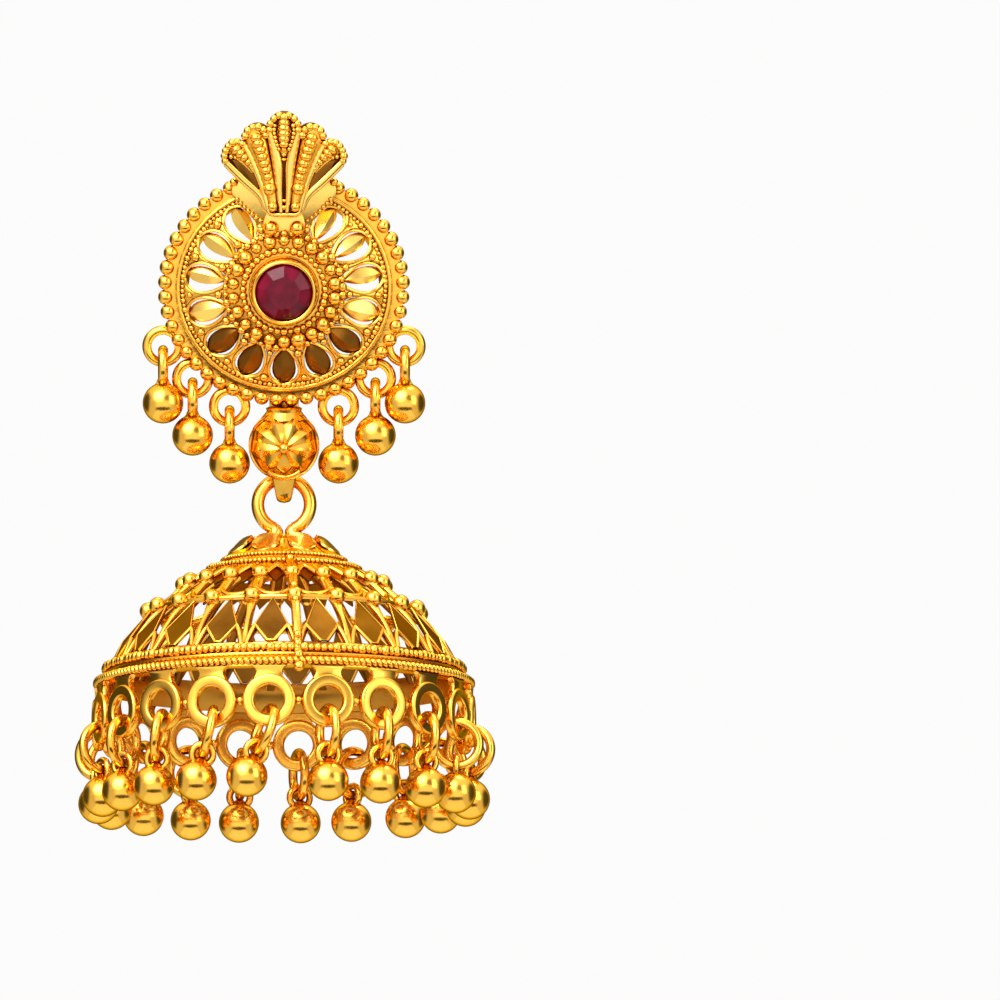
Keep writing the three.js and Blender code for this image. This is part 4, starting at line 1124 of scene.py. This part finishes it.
def bell_cap():
    lobes, columns, outside = 8, 192, 9
    points = []
    for j in range(columns):
        a = j * 2 * pi / columns
        valley = 1 - abs(sin(a * lobes / 2))
        for i, (r, h) in enumerate(CAP_ROWS):
            share = np.interp(r, [1.6, 2.8, 3.4, 4.3, 4.68], [0, 0.35, 1, 0.6, 0]) if i < outside else 0
            r2 = r - 0.34 * share * valley ** 1.5
            points.append((r2 * sin(a), -r2 * cos(a), CAP_TOP + h - 0.16 * share * valley))
    shell = (np.array(points), grid_faces(columns, len(CAP_ROWS), wrap_rows=True))
    collar = turned([(0, 0.3), (0.9, 0.3), (1.3, 0.2), (1.55, 0.02), (1.6, -0.15), (0, -0.2)], loop=False)
    bail = wire(ring_path(BAIL_RADIUS, 80, radians(22), radians(338)), BAIL_WIRE, 18)
    feet = []
    for side in (-1, 1):
        path = [(0.82, -3.72), (0.72, -3.84), (0.62, -4.02), (0.66, -4.25), (0.85, -4.62)]
        feet.append(wire([(side * x, 0, z) for x, z in path], [0.44, 0.5, 0.56, 0.62, 0.78], 16))
    petals = []
    for i in range(lobes):
        a = (i + 0.5) * 2 * pi / lobes
        t = np.arange(20) * 2 * pi / 20
        r = 3.5 + 0.98 * np.cos(t)
        off = 1.12 * np.abs(np.sin(t)) ** 1.3 * np.sign(np.sin(t))
        drop = np.interp(r, [1.6, 2.8, 3.15, 3.7, 4.25, 4.6], [0, -0.1, -0.3, -0.72, -1.15, -1.45])
        rows = []
        for share, lift in [(1, -0.14), (1, 0.06), (0.85, 0.16)]:
            out, aside = 3.5 + (r - 3.5) * share, off * share
            high = CAP_TOP + drop + (lift - 0.15 * (out - 3.5) * (share < 1))
            rows.append(np.column_stack([out * sin(a) + aside * cos(a), -out * cos(a) + aside * sin(a), high]))
        petals.append(stacked(rows))
    studs = [
        [(2.1 * sin(a), -2.1 * cos(a), CAP_TOP + 0.02), (2.11 * sin(a), -2.11 * cos(a), CAP_TOP + 0.02)]
        for a in np.arange(lobes) * 2 * pi / lobes
    ]
    around = np.linspace(0, 2 * pi, 160, endpoint=False)
    edge = [(4.62 * sin(a), -4.62 * cos(a), CAP_TOP - 1.62) for a in around]
    bail = joined(shifted(collar, z=CAP_TOP), shifted(bail, z=-BAIL_RADIUS), *feet)
    piece("bell_cap", [
        coated("Cap", shell, CAST, radians(40)),
        coated("Petals", joined(*petals), PAINTED_LIGHT_GOLD, radians(30)),
        coated("Bail", bail, GOLD, radians(50)),
        granules("Cap grains", [edge], 0.17, 0.31, CAST, True, Unevenness=0.12),
        granules("Cap studs", studs, 0.2, 1.0, CAST, Detail=3, Unevenness=0.2),
    ], HUNG, "hanging_dome", ["dome_cap"])


def hanging_points():
    spots, turns = [], []
    for i, (turn, lean) in enumerate(HANG):
        azimuth = SEAM + (i + 0.5) * SECTOR
        spots.append((WASHER_RING * sin(azimuth), -WASHER_RING * cos(azimuth), WASHER_MIDDLE - 1.12))
        about = [(azimuth, "Z"), (radians(lean), "Y"), (radians(turn), "Z")]
        first, second, third = (Matrix.Rotation(angle, 4, axis) for angle, axis in about)
        turns.append((first @ second @ third).to_euler())
    mesh = bpy.data.meshes.new("Spots")
    mesh.from_pydata(spots, [], [])
    turned_by = mesh.attributes.new("turn", "FLOAT_VECTOR", "POINT")
    for item, value in zip(turned_by.data, turns):
        item.vector = value
    return mesh


def rim_drops():
    jump_middle = JUMP_WIRE + LINK_GAP - JUMP_RADIUS
    eye_middle = jump_middle - JUMP_RADIUS + JUMP_WIRE + LINK_GAP / 2 - (EYE_RADIUS - EYE_WIRE)
    ball_middle = eye_middle - 1.95
    jump = shifted(moved(hoop(JUMP_RADIUS, JUMP_WIRE, 44, 14), EDGE_ON), z=jump_middle)
    eye = shifted(hoop(EYE_RADIUS, EYE_WIRE, 28, 10), z=eye_middle)
    shoulder = [(0, -0.3), (0.86, -0.3), (0.6, -0.1), (0.42, 0.06), (0.3, 0.2), (0, 0.22)]
    shoulder = shifted(turned(shoulder, 28, loop=False), z=ball_middle + BALL_DROP)
    ball = joined(eye, globe(BALL_DROP, (0, 0, ball_middle), 36, 20), shoulder)
    for name, form, nodes in [("rim_rings", jump, "jump_ring"), ("rim_balls", ball, "ball_drop")]:
        base = linked("Base", mesh_from("Base", form, radians(50)))
        hung = grown(name, hanging_points(), HANGING, Hung=base, Material=GOLD)
        bpy.data.objects.remove(base)
        piece(name, hung, HUNG, "hanging_dome", [f"{nodes}_{i:02d}" for i in range(1, SECTORS + 1)])


# Stage


def camera():
    """The photograph's view: from the front and 8 degrees below, through a long lens."""
    pixel = 0.075 * MM
    distance = 1.0
    below = radians(8)
    target = Vector((0, 0.001, -0.0161))
    lens = bpy.data.cameras.new("Camera")
    lens.sensor_width = 36
    lens.lens = 36 * distance / (1000 * pixel)
    lens.shift_x = (500 - 284) / 1000
    lens.clip_start, lens.clip_end = 0.05, 20
    view = linked("Camera", lens)
    view.location = target + distance * Vector((0, -cos(below), -sin(below)))
    view.rotation_euler = (target - view.location).to_track_quat("-Z", "Y").to_euler()
    bpy.context.scene.camera = view


def softbox(name, spot, size, power):
    light = bpy.data.lights.new(name, "AREA")
    light.shape = "RECTANGLE"
    light.size, light.size_y = size
    light.energy = power
    lamp = linked(name, light)
    lamp.location = spot
    lamp.rotation_euler = (Vector((0, 0, -0.015)) - lamp.location).to_track_quat("-Z", "Y").to_euler()


def studio():
    world = bpy.data.worlds.new("Studio")
    bpy.context.scene.world = world
    world.use_nodes = True
    tree = world.node_tree
    tree.nodes.clear()
    place = node(tree, "ShaderNodeTexCoord")["Generated"]
    rise = node(tree, "ShaderNodeSeparateXYZ", {"Vector": place})["Z"]
    height = node(tree, "ShaderNodeMapRange", {"Value": rise, "From Min": -1})["Result"]
    tone = ramp(tree, height, [(share, (tone, tone, tone)) for share, tone in SKY])
    for way, far, near, tint in CARDS:
        along = {0: place, 1: Vector(way).normalized()}
        facing = node(tree, "ShaderNodeVectorMath", along, operation="DOT_PRODUCT")["Value"]
        limits = {"Value": facing, "From Min": far, "From Max": near, "To Min": 1.0, "To Max": tint}
        edge = node(tree, "ShaderNodeMapRange", limits, interpolation_type="SMOOTHSTEP")["Result"]
        tone = mixed(tree, "MULTIPLY", 1, tone, edge)
    around = node(tree, "ShaderNodeBackground", {"Color": tone})["Background"]
    pale = node(tree, "ShaderNodeBackground", {"Color": (0.97, 0.97, 0.965, 1)})["Background"]
    seen = node(tree, "ShaderNodeLightPath")["Is Camera Ray"]
    both = node(tree, "ShaderNodeMixShader", {0: seen, 1: around, 2: pale})["Shader"]
    node(tree, "ShaderNodeOutputWorld", {"Surface": both})
    softbox("Key", (-0.25, -0.46, 0.38), (0.5, 0.46), 4.0)
    softbox("Fill", (0.5, -0.4, 0.12), (0.3, 0.5), 1.0)
    softbox("Top", (0.1, 0.15, 0.6), (0.4, 0.25), 2.0)
    mesh = bpy.data.meshes.new("Floor")
    corners = [(-1.2, -1.2, -1.5), (1.2, -1.2, -1.5), (1.2, 1.2, -1.5), (-1.2, 1.2, -1.5)]
    mesh.from_pydata(corners, [], [(0, 1, 2, 3)])
    paper = bpy.data.materials.new("Pale paper")
    paper.use_nodes = True
    shader = paper.node_tree.nodes["Principled BSDF"].inputs
    shader["Base Color"].default_value = (0.85, 0.85, 0.84, 1)
    shader["Roughness"].default_value = 0.9
    mesh.materials.append(paper)
    floor = linked("floor", mesh)
    bpy.context.scene.view_settings.view_transform = "Standard"
    bpy.context.scene.view_settings.look = "None"


camera()
studio()
rosette()
setting()
stone()
ear_post()
crest()
flower_ball()
stud_drops()
bell()
bell_cap()
rim_drops()
